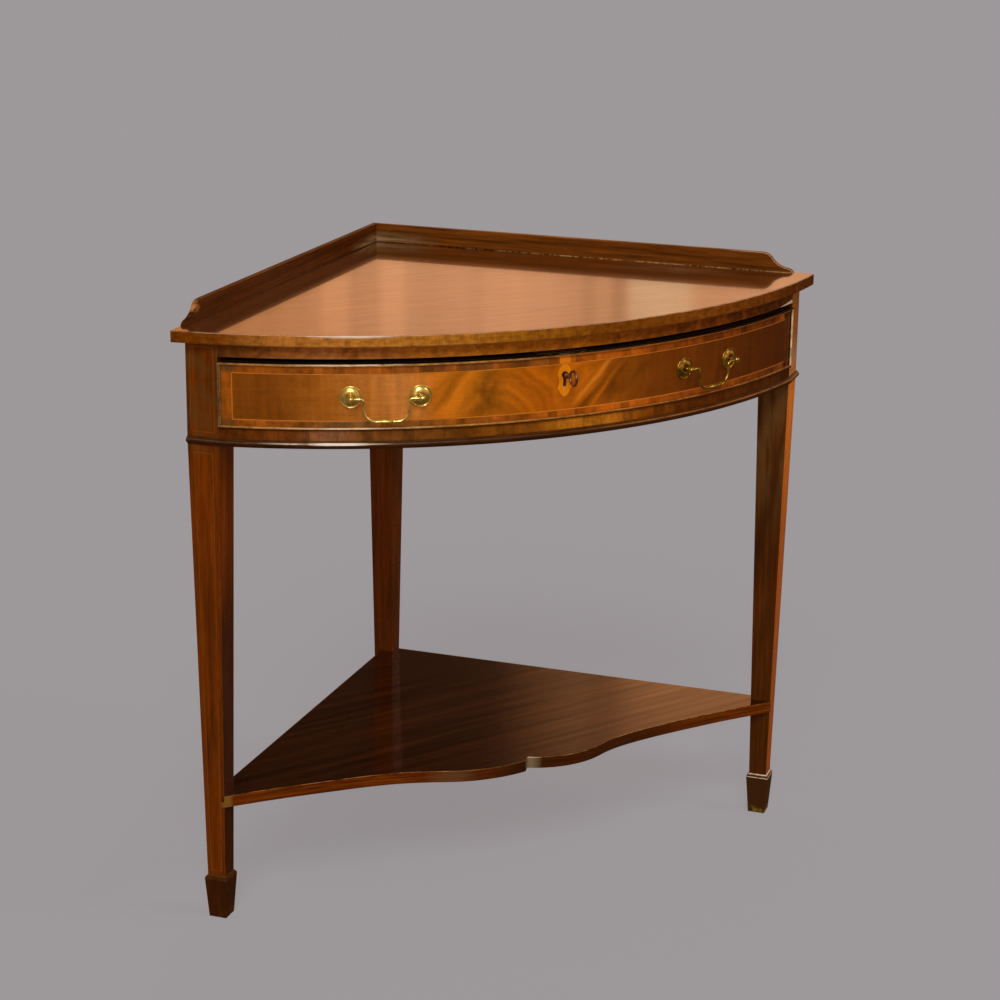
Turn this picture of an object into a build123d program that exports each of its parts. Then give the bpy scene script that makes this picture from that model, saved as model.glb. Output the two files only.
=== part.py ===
from build123d import *
import os
from math import asin, atan2, cos, degrees, pi, sin, sqrt

os.makedirs("parts", exist_ok=True)

# A corner side table: three square tapered legs stand square to the two walls,
# a bow-fronted frieze with one lockable drawer joins the front legs, and a
# shaped shelf ties the legs near the floor. +X runs right, +Y into the corner
# and +Z up. The origin is on the floor, below the middle of the whole table.

root_two = sqrt(2.0)
low = Align.MIN
mid = Align.CENTER

# Whole table
table_height = 760.0
wall_length = 601.5
bow_rise = 122.6
joint_overrun = 2.0

# Top board and its gallery
board_thickness = 14.0
board_wall_overhang = 10.8
board_end_overhang = 15.9
board_front_overhang = 13.2
edge_banding_thickness = 1.2
gallery_height = 25.0
gallery_thickness = 7.4
gallery_end_setback = 26.5
gallery_ogee_length = 43.0
gallery_rebate = 3.0

# Frieze, from the board down
top_rail_height = 16.3
drawer_top_gap = 5.5
drawer_height = 80.2
drawer_bottom_gap = 0.5
bottom_rail_height = 22.3
rail_depth = 38.0
veneer = 1.0
rail_tenon_length = 12.0
rail_tenon_inset = 10.0
rail_tenon_shoulder = 3.0

# Moulding along the lower edge of the frieze
moulding_height = 9.0
moulding_projection = 4.6
moulding_fillet = 1.6
moulding_step = 1.2

# Legs
leg_block = 41.0
leg_ankle = 24.0
ankle_height = 57.9
spade_width = 30.4
spade_bevel = 4.0
spade_bottom = 23.0

# Light stringing let into the outer end faces of the front legs
leg_string_width = 1.0
leg_string_depth = 1.0
leg_string_share = 0.62
block_string_share = 0.76
leg_string_gap = 6.0
leg_string_drop = 10.0

# Side rails against the walls
side_rail_thickness = 18.0
side_rail_setback = 1.5
side_tenon_length = 13.0
side_tenon_thickness = 8.0
side_tenon_cheek = 5.0
side_tenon_shoulder = 10.0

# Shelf
shelf_above_ankle = 109.6
shelf_thickness = 15.2
shelf_wall_inset = 17.2
shelf_housing = 4.0
shelf_lobe_reach = 53.0
shelf_cusp_x = 4.0
shelf_cusp_reach = 39.0
shelf_lip_x = -3.0
shelf_lip_reach = 49.0
shelf_crest_x = 50.0
shelf_shoulder_x = 112.0
shelf_shoulder_reach = 39.0
shelf_waist_x = 172.0
shelf_waist_reach = 19.0
shelf_flank_x = 262.0
shelf_flank_reach = 7.0

# Drawer
drawer_end_gap = 0.8
front_thickness = 20.0
bead_width = 3.0
bead_depth = 4.0
bead_projection = 2.5
crossband_end = 12.4
crossband_upper = 9.3
crossband_lower = 7.3
string_width = 1.2
side_gap = 1.0
side_thickness = 10.0
drawer_side_height = 72.0
drawer_back_thickness = 10.0
drawer_depth = 350.0
panel_thickness = 6.0
panel_rise = 4.5
groove_depth = 4.0

# Runners, kickers, stops and blocks
slip_corner_gap = 6.7
slip_width = 20.0
slip_gap = 0.3
guide_gap = 0.4
guide_width = 12.0
guide_top_gap = 0.5
runner_depth = 14.0
runner_overlap = 5.0
kicker_width = 30.0
kicker_gap = 1.0
stop_share = 0.47
stop_width = 36.0
stop_length = 13.0
stop_top_gap = 1.0
stop_gap = 0.3
glue_block_side = 14.0
glue_block_length = 50.0
glue_block_shares = (0.25, 0.65)

# Lock
key_axis_drop = 26.2
lock_plate_width = 64.0
lock_box_width = 52.0
lock_height = 47.0
lock_depth = 11.0
lock_sheet = 1.4
selvedge_width = 68.0
selvedge_depth = 14.0
selvedge_thickness = 1.6
lock_pin_radius = 1.2
lock_running_gap = 0.1
bolt_travel = 10.0
bolt_thickness = 3.0
bolt_head_width = 18.0
bolt_rail = 4.0
bolt_shoulder = 6.0
bolt_side_gap = 0.3
mortise_margin = 0.7
lock_screw_radius = 1.3
lock_screw_length = 9.0
lock_screw_head = 2.5
lock_screw_head_height = 1.0
lock_screw_edge = 3.4

# Key
key_barrel_radius = 2.4
key_bit_radius = 13.0
key_bit_thickness = 2.5
key_bit_width = 4.6
key_window_gap = 0.95
key_lift_slack = 1.1
key_bow_reach = 22.0
key_bow_radius = 8.6
key_bow_wire = 1.6
key_collar_radius = 3.5
key_collar_length = 2.4
key_collar_place = 8.0

# Keyhole and its inlaid shield
keyhole_radius = 4.0
keyhole_slot = 4.4
keyhole_drop = 14.8
shield_half_width = 10.0
shield_drop = 27.0
shield_neck = 3.0

# Bail handles
handle_share = 0.5279
handle_spacing = 83.0
rosette_radius = 13.6
rosette_thickness = 3.0
rosette_rim = 0.7
rosette_bead_shares = (0.94, 0.87)
rosette_groove_share = 0.83
rosette_dome_shares = (0.62, 0.40)
rosette_rise_share = 0.83
rosette_hollow_shares = (0.33, 0.45)
post_radius = 2.0
post_neck = 2.5
ball_radius = 4.2
ball_reach = 12.5
bail_wire = 1.65
bail_fit_gap = 0.05
bail_hole_depth = 2.0
bail_half_width = 27.0
bail_drop = 27.5
bail_shoulder_bend = 4.0
bail_corner_bend = 15.0
bail_grip_half = 8.5
bail_grip_radius = 2.8
bail_ring_radius = 2.6
bail_ring_half = 0.7
bail_collar_reach = 7.0
bail_collar_half = 2.6
bail_collar_radius = 2.4
hole_gap = 0.1
nut_side = 9.0
nut_height = 3.0
nut_seat_gap = 0.05

# Heights of the frieze parts
board_bottom = table_height - board_thickness
rail_bottom = board_bottom - top_rail_height
drawer_top = rail_bottom - drawer_top_gap
drawer_bottom = drawer_top - drawer_height
rail_top = drawer_bottom - drawer_bottom_gap
frieze_bottom = rail_top - bottom_rail_height
key_height = drawer_top - key_axis_drop
handle_height = (drawer_top + drawer_bottom) / 2

# Plan: the carcass corner and the bow
bow_half_width = (wall_length - leg_block) / root_two
frieze_depth = (wall_length + leg_block) / root_two + bow_rise
key_reach = key_bow_reach + key_bow_radius + key_bow_wire
plan_back = board_wall_overhang * root_two
corner_y = (frieze_depth + key_reach - plan_back) / 2
bow_front = corner_y - frieze_depth
bow_radius = (bow_half_width**2 + bow_rise**2) / (2 * bow_rise)
bow_centre_y = bow_front + bow_radius
bow_end_angle = asin(bow_half_width / bow_radius)


def wall_point(side, along, inward):
    """Plan point beside a wall: side -1 is the left wall, 1 the right."""
    across = side * (along - inward) / root_two
    return (across, corner_y - (along + inward) / root_two)


def bow_point(side, depth, inset):
    """Where the bow, set back by depth, meets a line beside the leg's inner face."""
    radius = bow_radius - depth
    half = (leg_block + inset) / root_two
    drop = corner_y - bow_centre_y - half
    span = half + drop
    square = half**2 + drop**2 - radius**2
    reach = (span + sqrt(span**2 - 2 * square)) / 2
    return (side * (reach - half), corner_y - reach - half)


def bow_middle(start, end, depth):
    """Point of the bow, set back by depth, midway between two of its points."""
    first = atan2(start[0], bow_centre_y - start[1])
    second = atan2(end[0], bow_centre_y - end[1])
    turn = (first + second) / 2
    radius = bow_radius - depth
    return (radius * sin(turn), bow_centre_y - radius * cos(turn))


def bow_y(depth, x):
    """Plan depth of the bow, set back by depth, at a distance x from its middle."""
    return bow_centre_y - sqrt((bow_radius - depth) ** 2 - x**2)


def prism(points, z_low, z_high):
    """Upright solid on a plan outline of straight lines."""
    outline = make_face(Polyline(*[(x, y, z_low) for x, y in points], close=True))
    return extrude(outline, amount=z_high - z_low, dir=(0, 0, 1))


def upright(edges, z_low, z_high):
    """Upright solid on a closed plan outline of mixed edges drawn at z zero."""
    outline = Pos(0, 0, z_low) * make_face(edges)
    return extrude(outline, amount=z_high - z_low, dir=(0, 0, 1))


def bow_band(outer, inner, left, right, z_low, z_high):
    """Curved band of the front between two depths and two (side, inset) ends."""
    a = bow_point(left[0], outer, left[1])
    b = bow_point(right[0], outer, right[1])
    c = bow_point(right[0], inner, right[1])
    d = bow_point(left[0], inner, left[1])
    edges = [
        ThreePointArc(a, bow_middle(a, b, outer), b),
        Line(b, c),
        ThreePointArc(c, bow_middle(c, d, inner), d),
        Line(d, a),
    ]
    return upright(edges, z_low, z_high)


def full_band(outer, inner, inset, z_low, z_high):
    """Curved band over the whole front, each end set in by inset."""
    return bow_band(outer, inner, (-1, inset), (1, inset), z_low, z_high)


def block(x_low, x_high, y_low, y_high, z_low, z_high):
    """Rectangular solid between given limits."""
    corners = [(x_low, y_low), (x_high, y_low), (x_high, y_high), (x_low, y_high)]
    return prism(corners, z_low, z_high)


def leg_centre(side):
    """Plan centre of a leg: side -1 and 1 are the front legs, 0 the rear one."""
    if side == 0:
        return (0, corner_y - leg_block / root_two)
    return wall_point(side, wall_length - leg_block / 2, leg_block / 2)


def leg_square(side, size, height):
    """Horizontal square section of a leg at a height."""
    x, y = leg_centre(side)
    return Pos(x, y, height) * Rot(0, 0, 45) * Rectangle(size, size)


def leg_post(side, size, z_low, z_high):
    """Straight square post on a leg's axis."""
    return extrude(leg_square(side, size, z_low), amount=z_high - z_low, dir=(0, 0, 1))


def save(name, shape):
    """Write one named piece, or one group of like pieces."""
    export_step(shape, "parts/" + name + ".step")


# Top board: straight along the walls, bowed in front
board_apex = corner_y + board_wall_overhang * root_two
board_wall = wall_length + board_end_overhang + board_wall_overhang
board_half = board_wall / root_two
board_tip_y = board_apex - board_half
board_front = bow_front - board_front_overhang
board_rise = board_tip_y - board_front
board_radius = (board_half**2 + board_rise**2) / (2 * board_rise)
board_centre_y = board_front + board_radius


def board_point(side, depth):
    """Tip of the board with its bow set back by depth."""
    radius = board_radius - depth
    drop = board_apex - board_centre_y
    reach = (drop + sqrt(2 * radius**2 - drop**2)) / 2
    return (side * reach, board_apex - reach)


def board_outline(depth):
    """Closed plan outline of the board with its bow set back by depth."""
    left = board_point(-1, depth)
    right = board_point(1, depth)
    front = (0, board_front + depth)
    return [
        ThreePointArc(left, front, right),
        Line(right, (0, board_apex)),
        Line((0, board_apex), left),
    ]


whole_board = upright(board_outline(0), board_bottom, table_height)
board_core = upright(board_outline(edge_banding_thickness), board_bottom, table_height)
save("top_edge_banding", whole_board - board_core)

# Gallery: an upright ledge along each wall edge, mitred at the corner, with an
# ogee sweeping down at its front end
gallery_end = board_wall - gallery_end_setback
gallery_nose_shares = ((0.0, 0.0), (0.058, 0.135), (0.186, 0.222))
gallery_hollow_shares = ((0.186, 0.222), (0.455, 0.38), (0.640, 0.635))
gallery_crown_shares = ((0.640, 0.635), (0.763, 0.871), (1.0, 1.0))


def gallery_edge(side, inward, share):
    """Point of the gallery's end profile from its length and height shares."""
    along = gallery_end - share[0] * gallery_ogee_length
    across = (along - inward) / root_two
    depth = board_apex - (along + inward) / root_two
    return (side * across, depth, table_height + share[1] * gallery_height)


def gallery(side):
    """One wall's gallery ledge, its foot let into a rebate of the board."""
    foot_z = table_height - gallery_rebate
    start = (0, board_apex, foot_z)
    rise = (0, board_apex, table_height + gallery_height)
    nose = [gallery_edge(side, 0, share) for share in gallery_nose_shares]
    hollow = [gallery_edge(side, 0, share) for share in gallery_hollow_shares]
    crown = [gallery_edge(side, 0, share) for share in gallery_crown_shares]
    foot = (nose[0][0], nose[0][1], foot_z)
    edges = [
        Line(start, foot),
        Line(foot, nose[0]),
        ThreePointArc(*nose),
        ThreePointArc(*hollow),
        ThreePointArc(*crown),
        Line(crown[2], rise),
        Line(rise, start),
    ]
    inward = (-side, -1, 0)
    ledge = extrude(make_face(edges), amount=gallery_thickness, dir=inward)
    far = board_wall
    mitre = prism(
        [(0, board_apex + far), (-side * far, board_apex + far), (-side * far, -far), (0, -far)],
        foot_z - joint_overrun,
        table_height + gallery_height + joint_overrun,
    )
    return ledge - mitre


gallery_left = gallery(-1)
gallery_right = gallery(1)
save("gallery_left", gallery_left)
save("gallery_right", gallery_right)
save("top_board", board_core - gallery_left - gallery_right)

# Front rails with stub tenons into the front legs, and their veneered faces


def front_rail(z_low, z_high):
    """Curved rail between the front legs."""
    body = full_band(veneer, rail_depth, 0, z_low, z_high)
    tenon_low = z_low + rail_tenon_shoulder
    tenon_high = z_high - rail_tenon_shoulder
    inner = rail_depth - rail_tenon_inset
    return body + full_band(rail_tenon_inset, inner, -rail_tenon_length, tenon_low, tenon_high)


# Lock positions, from the front's face at the middle of the bow
core_back = bow_front + front_thickness
lock_back = core_back
lock_front = lock_back - lock_depth
cavity_front = lock_front + lock_sheet
cavity_back = lock_back - lock_sheet
bolt_middle = (cavity_front + cavity_back) / 2
bolt_low_y = bolt_middle - bolt_thickness / 2
bolt_high_y = bolt_middle + bolt_thickness / 2
mortise = block(
    -bolt_head_width / 2 - mortise_margin,
    bolt_head_width / 2 + mortise_margin,
    bolt_low_y - mortise_margin,
    bolt_high_y + mortise_margin,
    rail_bottom - joint_overrun,
    drawer_top + bolt_travel + mortise_margin,
)
top_rail = front_rail(rail_bottom, board_bottom) - mortise
bottom_rail = front_rail(frieze_bottom, rail_top)
save("top_rail", top_rail)
save("bottom_rail", bottom_rail)
save("top_rail_banding", full_band(0, veneer, 0, rail_bottom, board_bottom))
band_low = frieze_bottom + moulding_height
save("bottom_rail_banding", full_band(0, veneer, 0, band_low, rail_top))

# Side rails along the walls, tenoned into the rear and front legs


def side_rail(side):
    """Straight rail set just inside one wall plane."""
    near = side_rail_setback
    far = side_rail_setback + side_rail_thickness
    start = leg_block
    end = wall_length - leg_block
    body = prism(
        [
            wall_point(side, start, near),
            wall_point(side, end, near),
            wall_point(side, end, far),
            wall_point(side, start, far),
        ],
        frieze_bottom,
        board_bottom,
    )
    near = near + side_tenon_cheek
    far = near + side_tenon_thickness
    start = start - side_tenon_length
    end = end + side_tenon_length
    tenon = prism(
        [
            wall_point(side, start, near),
            wall_point(side, end, near),
            wall_point(side, end, far),
            wall_point(side, start, far),
        ],
        frieze_bottom + side_tenon_shoulder,
        board_bottom - side_tenon_shoulder,
    )
    return body + tenon


side_rail_left = side_rail(-1)
side_rail_right = side_rail(1)
save("side_rail_left", side_rail_left)
save("side_rail_right", side_rail_right)

# Moulding: half round between small fillets
moulding_profile = (
    (0, 0),
    (moulding_fillet, 0),
    (moulding_fillet, moulding_step),
    (moulding_projection, moulding_height / 2),
    (moulding_fillet, moulding_height - moulding_step),
    (moulding_fillet, moulding_height),
    (0, moulding_height),
)


def moulding_face(place):
    """Face of the moulding's section, set out by a function of its two sizes."""
    p = [place(out, up) for out, up in moulding_profile]
    edges = [
        Line(p[0], p[1]),
        Line(p[1], p[2]),
        ThreePointArc(p[2], p[3], p[4]),
        Line(p[4], p[5]),
        Line(p[5], p[6]),
        Line(p[6], p[0]),
    ]
    return make_face(edges)


mitre_angle = (bow_end_angle + pi / 4) / 2
arris_y = corner_y - (wall_length + leg_block) / root_two
mitre_apex = arris_y + bow_half_width / (sin(mitre_angle) / cos(mitre_angle))
mitre_reach = wall_length * root_two
mitre_wedge = prism(
    [
        (0, mitre_apex),
        (-mitre_reach * sin(mitre_angle), mitre_apex - mitre_reach * cos(mitre_angle)),
        (mitre_reach * sin(mitre_angle), mitre_apex - mitre_reach * cos(mitre_angle)),
    ],
    frieze_bottom - joint_overrun,
    frieze_bottom + moulding_height + joint_overrun,
)
bow_axis = Axis((0, bow_centre_y, 0), (0, 0, 1))
sweep_angle = degrees(asin((bow_half_width + leg_block) / bow_radius))
front_section = moulding_face(lambda out, up: (0, bow_front - out, frieze_bottom + up))
front_section = front_section.rotate(bow_axis, -sweep_angle)
moulding_front = revolve(front_section, axis=bow_axis, revolution_arc=2 * sweep_angle)
moulding_front = moulding_front & mitre_wedge
save("moulding_front", moulding_front)


def moulding_return(side):
    """Moulding across a front leg's outer end, from the mitre to the wall side."""

    def place(out, up):
        x, y = wall_point(side, wall_length + out, 0)
        return (x, y, frieze_bottom + up)

    run = leg_block + moulding_projection * 2
    strip = extrude(moulding_face(place), amount=run, dir=(-side, -1, 0))
    return strip - mitre_wedge


save("moulding_left_return", moulding_return(-1))
save("moulding_right_return", moulding_return(1))

# Shelf: notched round the legs, its front edge two lobes, the left one ending in a step
shelf_top = ankle_height + shelf_above_ankle
shelf_bottom = shelf_top - shelf_thickness
taper_run = frieze_bottom - ankle_height
shelf_share = (shelf_bottom + shelf_thickness / 2 - ankle_height) / taper_run
leg_at_shelf = leg_ankle + (leg_block - leg_ankle) * shelf_share
leg_shelf_inset = (leg_block - leg_at_shelf) / 2
arris_along = wall_length - leg_shelf_inset
arris_inward = leg_block - leg_shelf_inset
shelf_left = wall_point(-1, arris_along, arris_inward)
shelf_right = wall_point(1, arris_along, arris_inward)
shelf_arris_y = shelf_left[1]
shelf_cusp = (shelf_cusp_x, shelf_arris_y - shelf_cusp_reach)
shelf_lip = (shelf_lip_x, shelf_arris_y - shelf_lip_reach)


def shelf_edge(side):
    """Front edge of one half of the shelf, from the step out to the leg."""
    start = shelf_lip if side < 0 else shelf_cusp
    crest = (side * shelf_crest_x, shelf_arris_y - shelf_lobe_reach)
    shoulder = (side * shelf_shoulder_x, shelf_arris_y - shelf_shoulder_reach)
    waist = (side * shelf_waist_x, shelf_arris_y - shelf_waist_reach)
    flank = (side * shelf_flank_x, shelf_arris_y - shelf_flank_reach)
    corner = shelf_left if side < 0 else shelf_right
    lobe = ThreePointArc(start, crest, shoulder)
    sweep_out = Spline([shoulder, waist, flank, corner], tangents=[lobe % 1, (side, 0)])
    return [lobe, sweep_out]


wall_start = (0, corner_y - shelf_wall_inset * root_two)
wall_left = wall_point(-1, arris_along, shelf_wall_inset)
wall_right = wall_point(1, arris_along, shelf_wall_inset)
shelf_outline = shelf_edge(-1) + shelf_edge(1) + [
    Line(shelf_lip, shelf_cusp),
    Line(shelf_right, wall_right),
    Line(wall_right, wall_start),
    Line(wall_start, wall_left),
    Line(wall_left, shelf_left),
]
shelf = upright(shelf_outline, shelf_bottom, shelf_top)
housing_core = leg_at_shelf - 2 * shelf_housing
for side in (-1, 0, 1):
    z_low = shelf_bottom - joint_overrun
    shelf = shelf - leg_post(side, housing_core, z_low, shelf_top + joint_overrun)
for side in (-1, 1):
    front_waste = prism(
        [
            wall_point(side, wall_length - leg_block / 2, leg_block / 2 + housing_core / 2),
            wall_point(side, wall_length - leg_block / 2, 0),
            wall_point(side, wall_length + leg_block, 0),
            wall_point(side, wall_length + leg_block, leg_block / 2 + housing_core / 2),
        ],
        shelf_bottom - joint_overrun,
        shelf_top + joint_overrun,
    )
    shelf = shelf - front_waste
rear_waste = prism(
    [
        wall_point(1, leg_block / 2 + housing_core / 2, leg_block / 2 - housing_core / 2),
        wall_point(1, leg_block / 2 - housing_core / 2, leg_block / 2 + housing_core / 2),
        (-leg_block, corner_y),
        (leg_block, corner_y),
    ],
    shelf_bottom - joint_overrun,
    shelf_top + joint_overrun,
)
shelf = shelf - rear_waste
save("shelf", shelf)

# Legs: square block in the frieze, four-sided taper, spade foot


def leg(side):
    """One leg with its mortises and its housing for the shelf."""
    body = leg_post(side, leg_block, frieze_bottom, board_bottom)
    neck = leg_square(side, leg_block, frieze_bottom)
    ankle = leg_square(side, leg_ankle, ankle_height)
    spade = leg_square(side, spade_width, ankle_height - spade_bevel)
    foot = leg_square(side, spade_bottom, 0)
    body = body + loft([ankle, neck], ruled=True)
    body = body + loft([spade, ankle], ruled=True)
    body = body + loft([foot, spade], ruled=True)
    return body


def end_half(height):
    """Half the width of a front leg's end face at a height."""
    taper_share = min((height - ankle_height) / taper_run, 1)
    return (leg_ankle + (leg_block - leg_ankle) * taper_share) / 2


def string_strip(side, corners):
    """Strip let into a front leg's end face, from (across, height) corners."""
    points = []
    for across, height in corners:
        along = wall_length - leg_block / 2 + end_half(height)
        x, y = wall_point(side, along, leg_block / 2 + across)
        points.append((x, y, height))
    face = make_face(Polyline(*points, close=True))
    return extrude(face, amount=leg_string_depth, dir=(-side, 1, 0))


def string_frame(side, share, z_low, z_high):
    """Closed frame of four strips between two heights, set in by a share."""
    strips = []
    width = leg_string_width
    low_out = share * end_half(z_low)
    high_out = share * end_half(z_high)
    for end in (-1, 1):
        upright_corners = [
            (end * low_out, z_low),
            (end * (low_out - width), z_low),
            (end * (high_out - width), z_high),
            (end * high_out, z_high),
        ]
        strips.append(string_strip(side, upright_corners))
    for outer, inner in ((z_low, z_low + width), (z_high, z_high - width)):
        outer_half = share * end_half(outer) - width
        inner_half = share * end_half(inner) - width
        level_corners = [
            (-outer_half, outer),
            (outer_half, outer),
            (inner_half, inner),
            (-inner_half, inner),
        ]
        strips.append(string_strip(side, level_corners))
    return strips


rear_leg = leg(0) - side_rail_left - side_rail_right - shelf
front_left_leg = leg(-1) - side_rail_left - top_rail - bottom_rail - shelf
front_right_leg = leg(1) - side_rail_right - top_rail - bottom_rail - shelf
block_low = frieze_bottom + moulding_height + leg_string_gap
leg_strings = []
for side in (-1, 1):
    strips = string_frame(side, block_string_share, block_low, board_bottom - leg_string_gap)
    taper_low = ankle_height + leg_string_gap
    taper_high = frieze_bottom - leg_string_drop
    strips = strips + string_frame(side, leg_string_share, taper_low, taper_high)
    for strip in strips:
        if side < 0:
            front_left_leg = front_left_leg - strip
        else:
            front_right_leg = front_right_leg - strip
    leg_strings = leg_strings + strips
save("rear_leg", rear_leg)
save("front_left_leg", front_left_leg)
save("front_right_leg", front_right_leg)
save("leg_stringing", Compound(leg_strings))

# Drawer front: a curved core with veneer, inlay and cockbeads on its face
core_band = full_band(veneer, bead_depth, drawer_end_gap + bead_width,
                      drawer_bottom + bead_width, drawer_top - bead_width)
core = core_band + full_band(bead_depth, front_thickness, drawer_end_gap, drawer_bottom, drawer_top)
bead_in = drawer_end_gap + bead_width
beads_top = full_band(-bead_projection, bead_depth, drawer_end_gap,
                      drawer_top - bead_width, drawer_top)
beads_bottom = full_band(-bead_projection, bead_depth, drawer_end_gap,
                         drawer_bottom, drawer_bottom + bead_width)
bead_low = drawer_bottom + bead_width
bead_high = drawer_top - bead_width
bead_left = bow_band(-bead_projection, bead_depth, (-1, drawer_end_gap), (-1, bead_in),
                     bead_low, bead_high)
bead_right = bow_band(-bead_projection, bead_depth, (1, bead_in), (1, drawer_end_gap),
                      bead_low, bead_high)
save("cockbead_top", beads_top)
save("cockbead_bottom", beads_bottom)
save("cockbead_ends", Compound([bead_left, bead_right]))

string_in = bead_in + crossband_end
field_in = string_in + string_width
field_low = bead_low + crossband_lower + string_width
field_high = bead_high - crossband_upper - string_width


def face_frame(inset_out, inset_in, z_out_low, z_in_low, z_in_high, z_out_high):
    """Flush band round the drawer's face as four strips, ends between the long ones."""
    upper = full_band(0, veneer, inset_out, z_in_high, z_out_high)
    lower = full_band(0, veneer, inset_out, z_out_low, z_in_low)
    left = bow_band(0, veneer, (-1, inset_out), (-1, inset_in), z_in_low, z_in_high)
    right = bow_band(0, veneer, (1, inset_in), (1, inset_out), z_in_low, z_in_high)
    return [upper, lower, left, right]


# Keyhole, cut through everything in front of the lock


def keyhole(y_low, y_high):
    """Round hole with a slot hanging below it, between two depths."""
    round_hole = Pos(0, y_low, key_height) * Rot(-90, 0, 0)
    round_hole = round_hole * Cylinder(keyhole_radius, y_high - y_low, align=(mid, mid, low))
    half = keyhole_slot / 2
    return round_hole + block(-half, half, y_low, y_high, key_height - keyhole_drop, key_height)


front_clear = bow_front - joint_overrun
face_hole = keyhole(front_clear, cavity_front)

# Shield inlay: a pear above, a scalloped waist, a pointed base
shield_neck_z = field_high - key_height
shield_upper_share = (0.70, 0.58)
shield_waist_shares = (0.74, 0.30)
shield_lobe_share = 0.60
shield_step_shares = (0.72, 0.69)
shield_base_shares = (0.50, 0.88)


def shield_edges(side):
    """Half of the shield's outline, from its neck down to its tip."""
    w = shield_half_width
    d = shield_drop
    neck = (side * shield_neck, 0, key_height + shield_neck_z)
    upper_z = key_height + shield_neck_z * shield_upper_share[1]
    upper = (side * w * shield_upper_share[0], 0, upper_z)
    point = (side * w, 0, key_height)
    waist = (side * w * shield_waist_shares[0], 0, key_height - d * shield_waist_shares[1])
    lobe = (side * w, 0, key_height - d * shield_lobe_share)
    step = (side * w * shield_step_shares[0], 0, key_height - d * shield_step_shares[1])
    base = (side * w * shield_base_shares[0], 0, key_height - d * shield_base_shares[1])
    tip = (0, 0, key_height - d)
    return [
        ThreePointArc(neck, upper, point),
        ThreePointArc(point, waist, lobe),
        Line(lobe, step),
        ThreePointArc(step, base, tip),
    ]


neck_left = (-shield_neck, 0, key_height + shield_neck_z)
neck_right = (shield_neck, 0, key_height + shield_neck_z)
shield_face = make_face(shield_edges(-1) + shield_edges(1) + [Line(neck_left, neck_right)])
shield_deep = extrude(Pos(0, front_clear, 0) * shield_face, amount=front_thickness, dir=(0, 1, 0))
field_band = full_band(0, veneer, field_in, field_low, field_high)
escutcheon = (field_band & shield_deep) - face_hole
field_veneer = field_band - shield_deep

# Bolts of the handles pass through the face, each square to the bow
handle_angle = handle_share * bow_end_angle
post_angle = asin(handle_spacing / (2 * bow_radius))


def face_place(turn):
    """Location on the drawer's face at an angle round the bow, outward along -Y."""
    middle = Pos(0, bow_centre_y, handle_height) * Rot(0, 0, degrees(turn))
    return middle * Pos(0, -bow_radius, 0)


def handle_place(side):
    """Location of a handle's middle."""
    return face_place(side * handle_angle)


def post_place(side, end):
    """Location of one post of a handle."""
    return face_place(side * handle_angle + end * post_angle)


def rod(radius, y_low, y_high):
    """Round rod along Y between two depths."""
    turned = Pos(0, y_low, 0) * Rot(-90, 0, 0)
    return turned * Cylinder(radius, y_high - y_low, align=(mid, mid, low))


handle_holes = []
for side in (-1, 1):
    for end in (-1, 1):
        hole = rod(post_radius + hole_gap, -joint_overrun, front_thickness + joint_overrun)
        handle_holes.append(post_place(side, end) * hole)
for hole in handle_holes:
    field_veneer = field_veneer - hole
    core = core - hole
save("drawer_field_veneer", field_veneer)
save("drawer_shield_inlay", escutcheon)
crossband = face_frame(bead_in, string_in, bead_low, bead_low + crossband_lower,
                       bead_high - crossband_upper, bead_high)
stringing = face_frame(string_in, field_in, bead_low + crossband_lower, field_low,
                       field_high, bead_high - crossband_upper)
save("drawer_crossbanding", Compound(crossband))
save("drawer_stringing", Compound(stringing))

# Drawer box: sides parallel to the walls, a straight back, a bottom in grooves
side_line = leg_block + side_gap
side_inner = side_line + side_thickness
back_rear_y = bow_front + drawer_depth
back_front_y = back_rear_y - drawer_back_thickness
panel_low = drawer_bottom + panel_rise
panel_high = panel_low + panel_thickness
side_top = drawer_bottom + drawer_side_height


def line_at(side, inward, y):
    """Point of a line parallel to a wall, inward of it, at a plan depth y."""
    along = (corner_y - y) * root_two - inward
    return wall_point(side, along, inward)


def drawer_side(side):
    """One drawer side, from the core back to the drawer's back."""
    a = line_at(side, side_line, back_front_y)
    b = line_at(side, side_inner, back_front_y)
    c = bow_point(side, front_thickness, side_gap + side_thickness)
    d = bow_point(side, front_thickness, side_gap)
    edges = [
        Line(a, b),
        Line(b, c),
        ThreePointArc(c, bow_middle(c, d, front_thickness), d),
        Line(d, a),
    ]
    return upright(edges, drawer_bottom, side_top)


panel_inset = side_gap + side_thickness - groove_depth
panel_line = leg_block + panel_inset
p_left = bow_point(-1, front_thickness - groove_depth, panel_inset)
p_right = bow_point(1, front_thickness - groove_depth, panel_inset)
panel_edges = [
    ThreePointArc(p_left, bow_middle(p_left, p_right, front_thickness - groove_depth), p_right),
    Line(p_right, line_at(1, panel_line, back_rear_y)),
    Line(line_at(1, panel_line, back_rear_y), line_at(-1, panel_line, back_rear_y)),
    Line(line_at(-1, panel_line, back_rear_y), p_left),
]
drawer_panel = upright(panel_edges, panel_low, panel_high)
drawer_back = prism(
    [
        line_at(-1, side_line, back_rear_y),
        line_at(1, side_line, back_rear_y),
        line_at(1, side_line, back_front_y),
        line_at(-1, side_line, back_front_y),
    ],
    panel_high,
    side_top,
)
save("drawer_bottom", drawer_panel)
save("drawer_back", drawer_back)
save("drawer_side_left", drawer_side(-1) - drawer_panel)
save("drawer_side_right", drawer_side(1) - drawer_panel)

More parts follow.
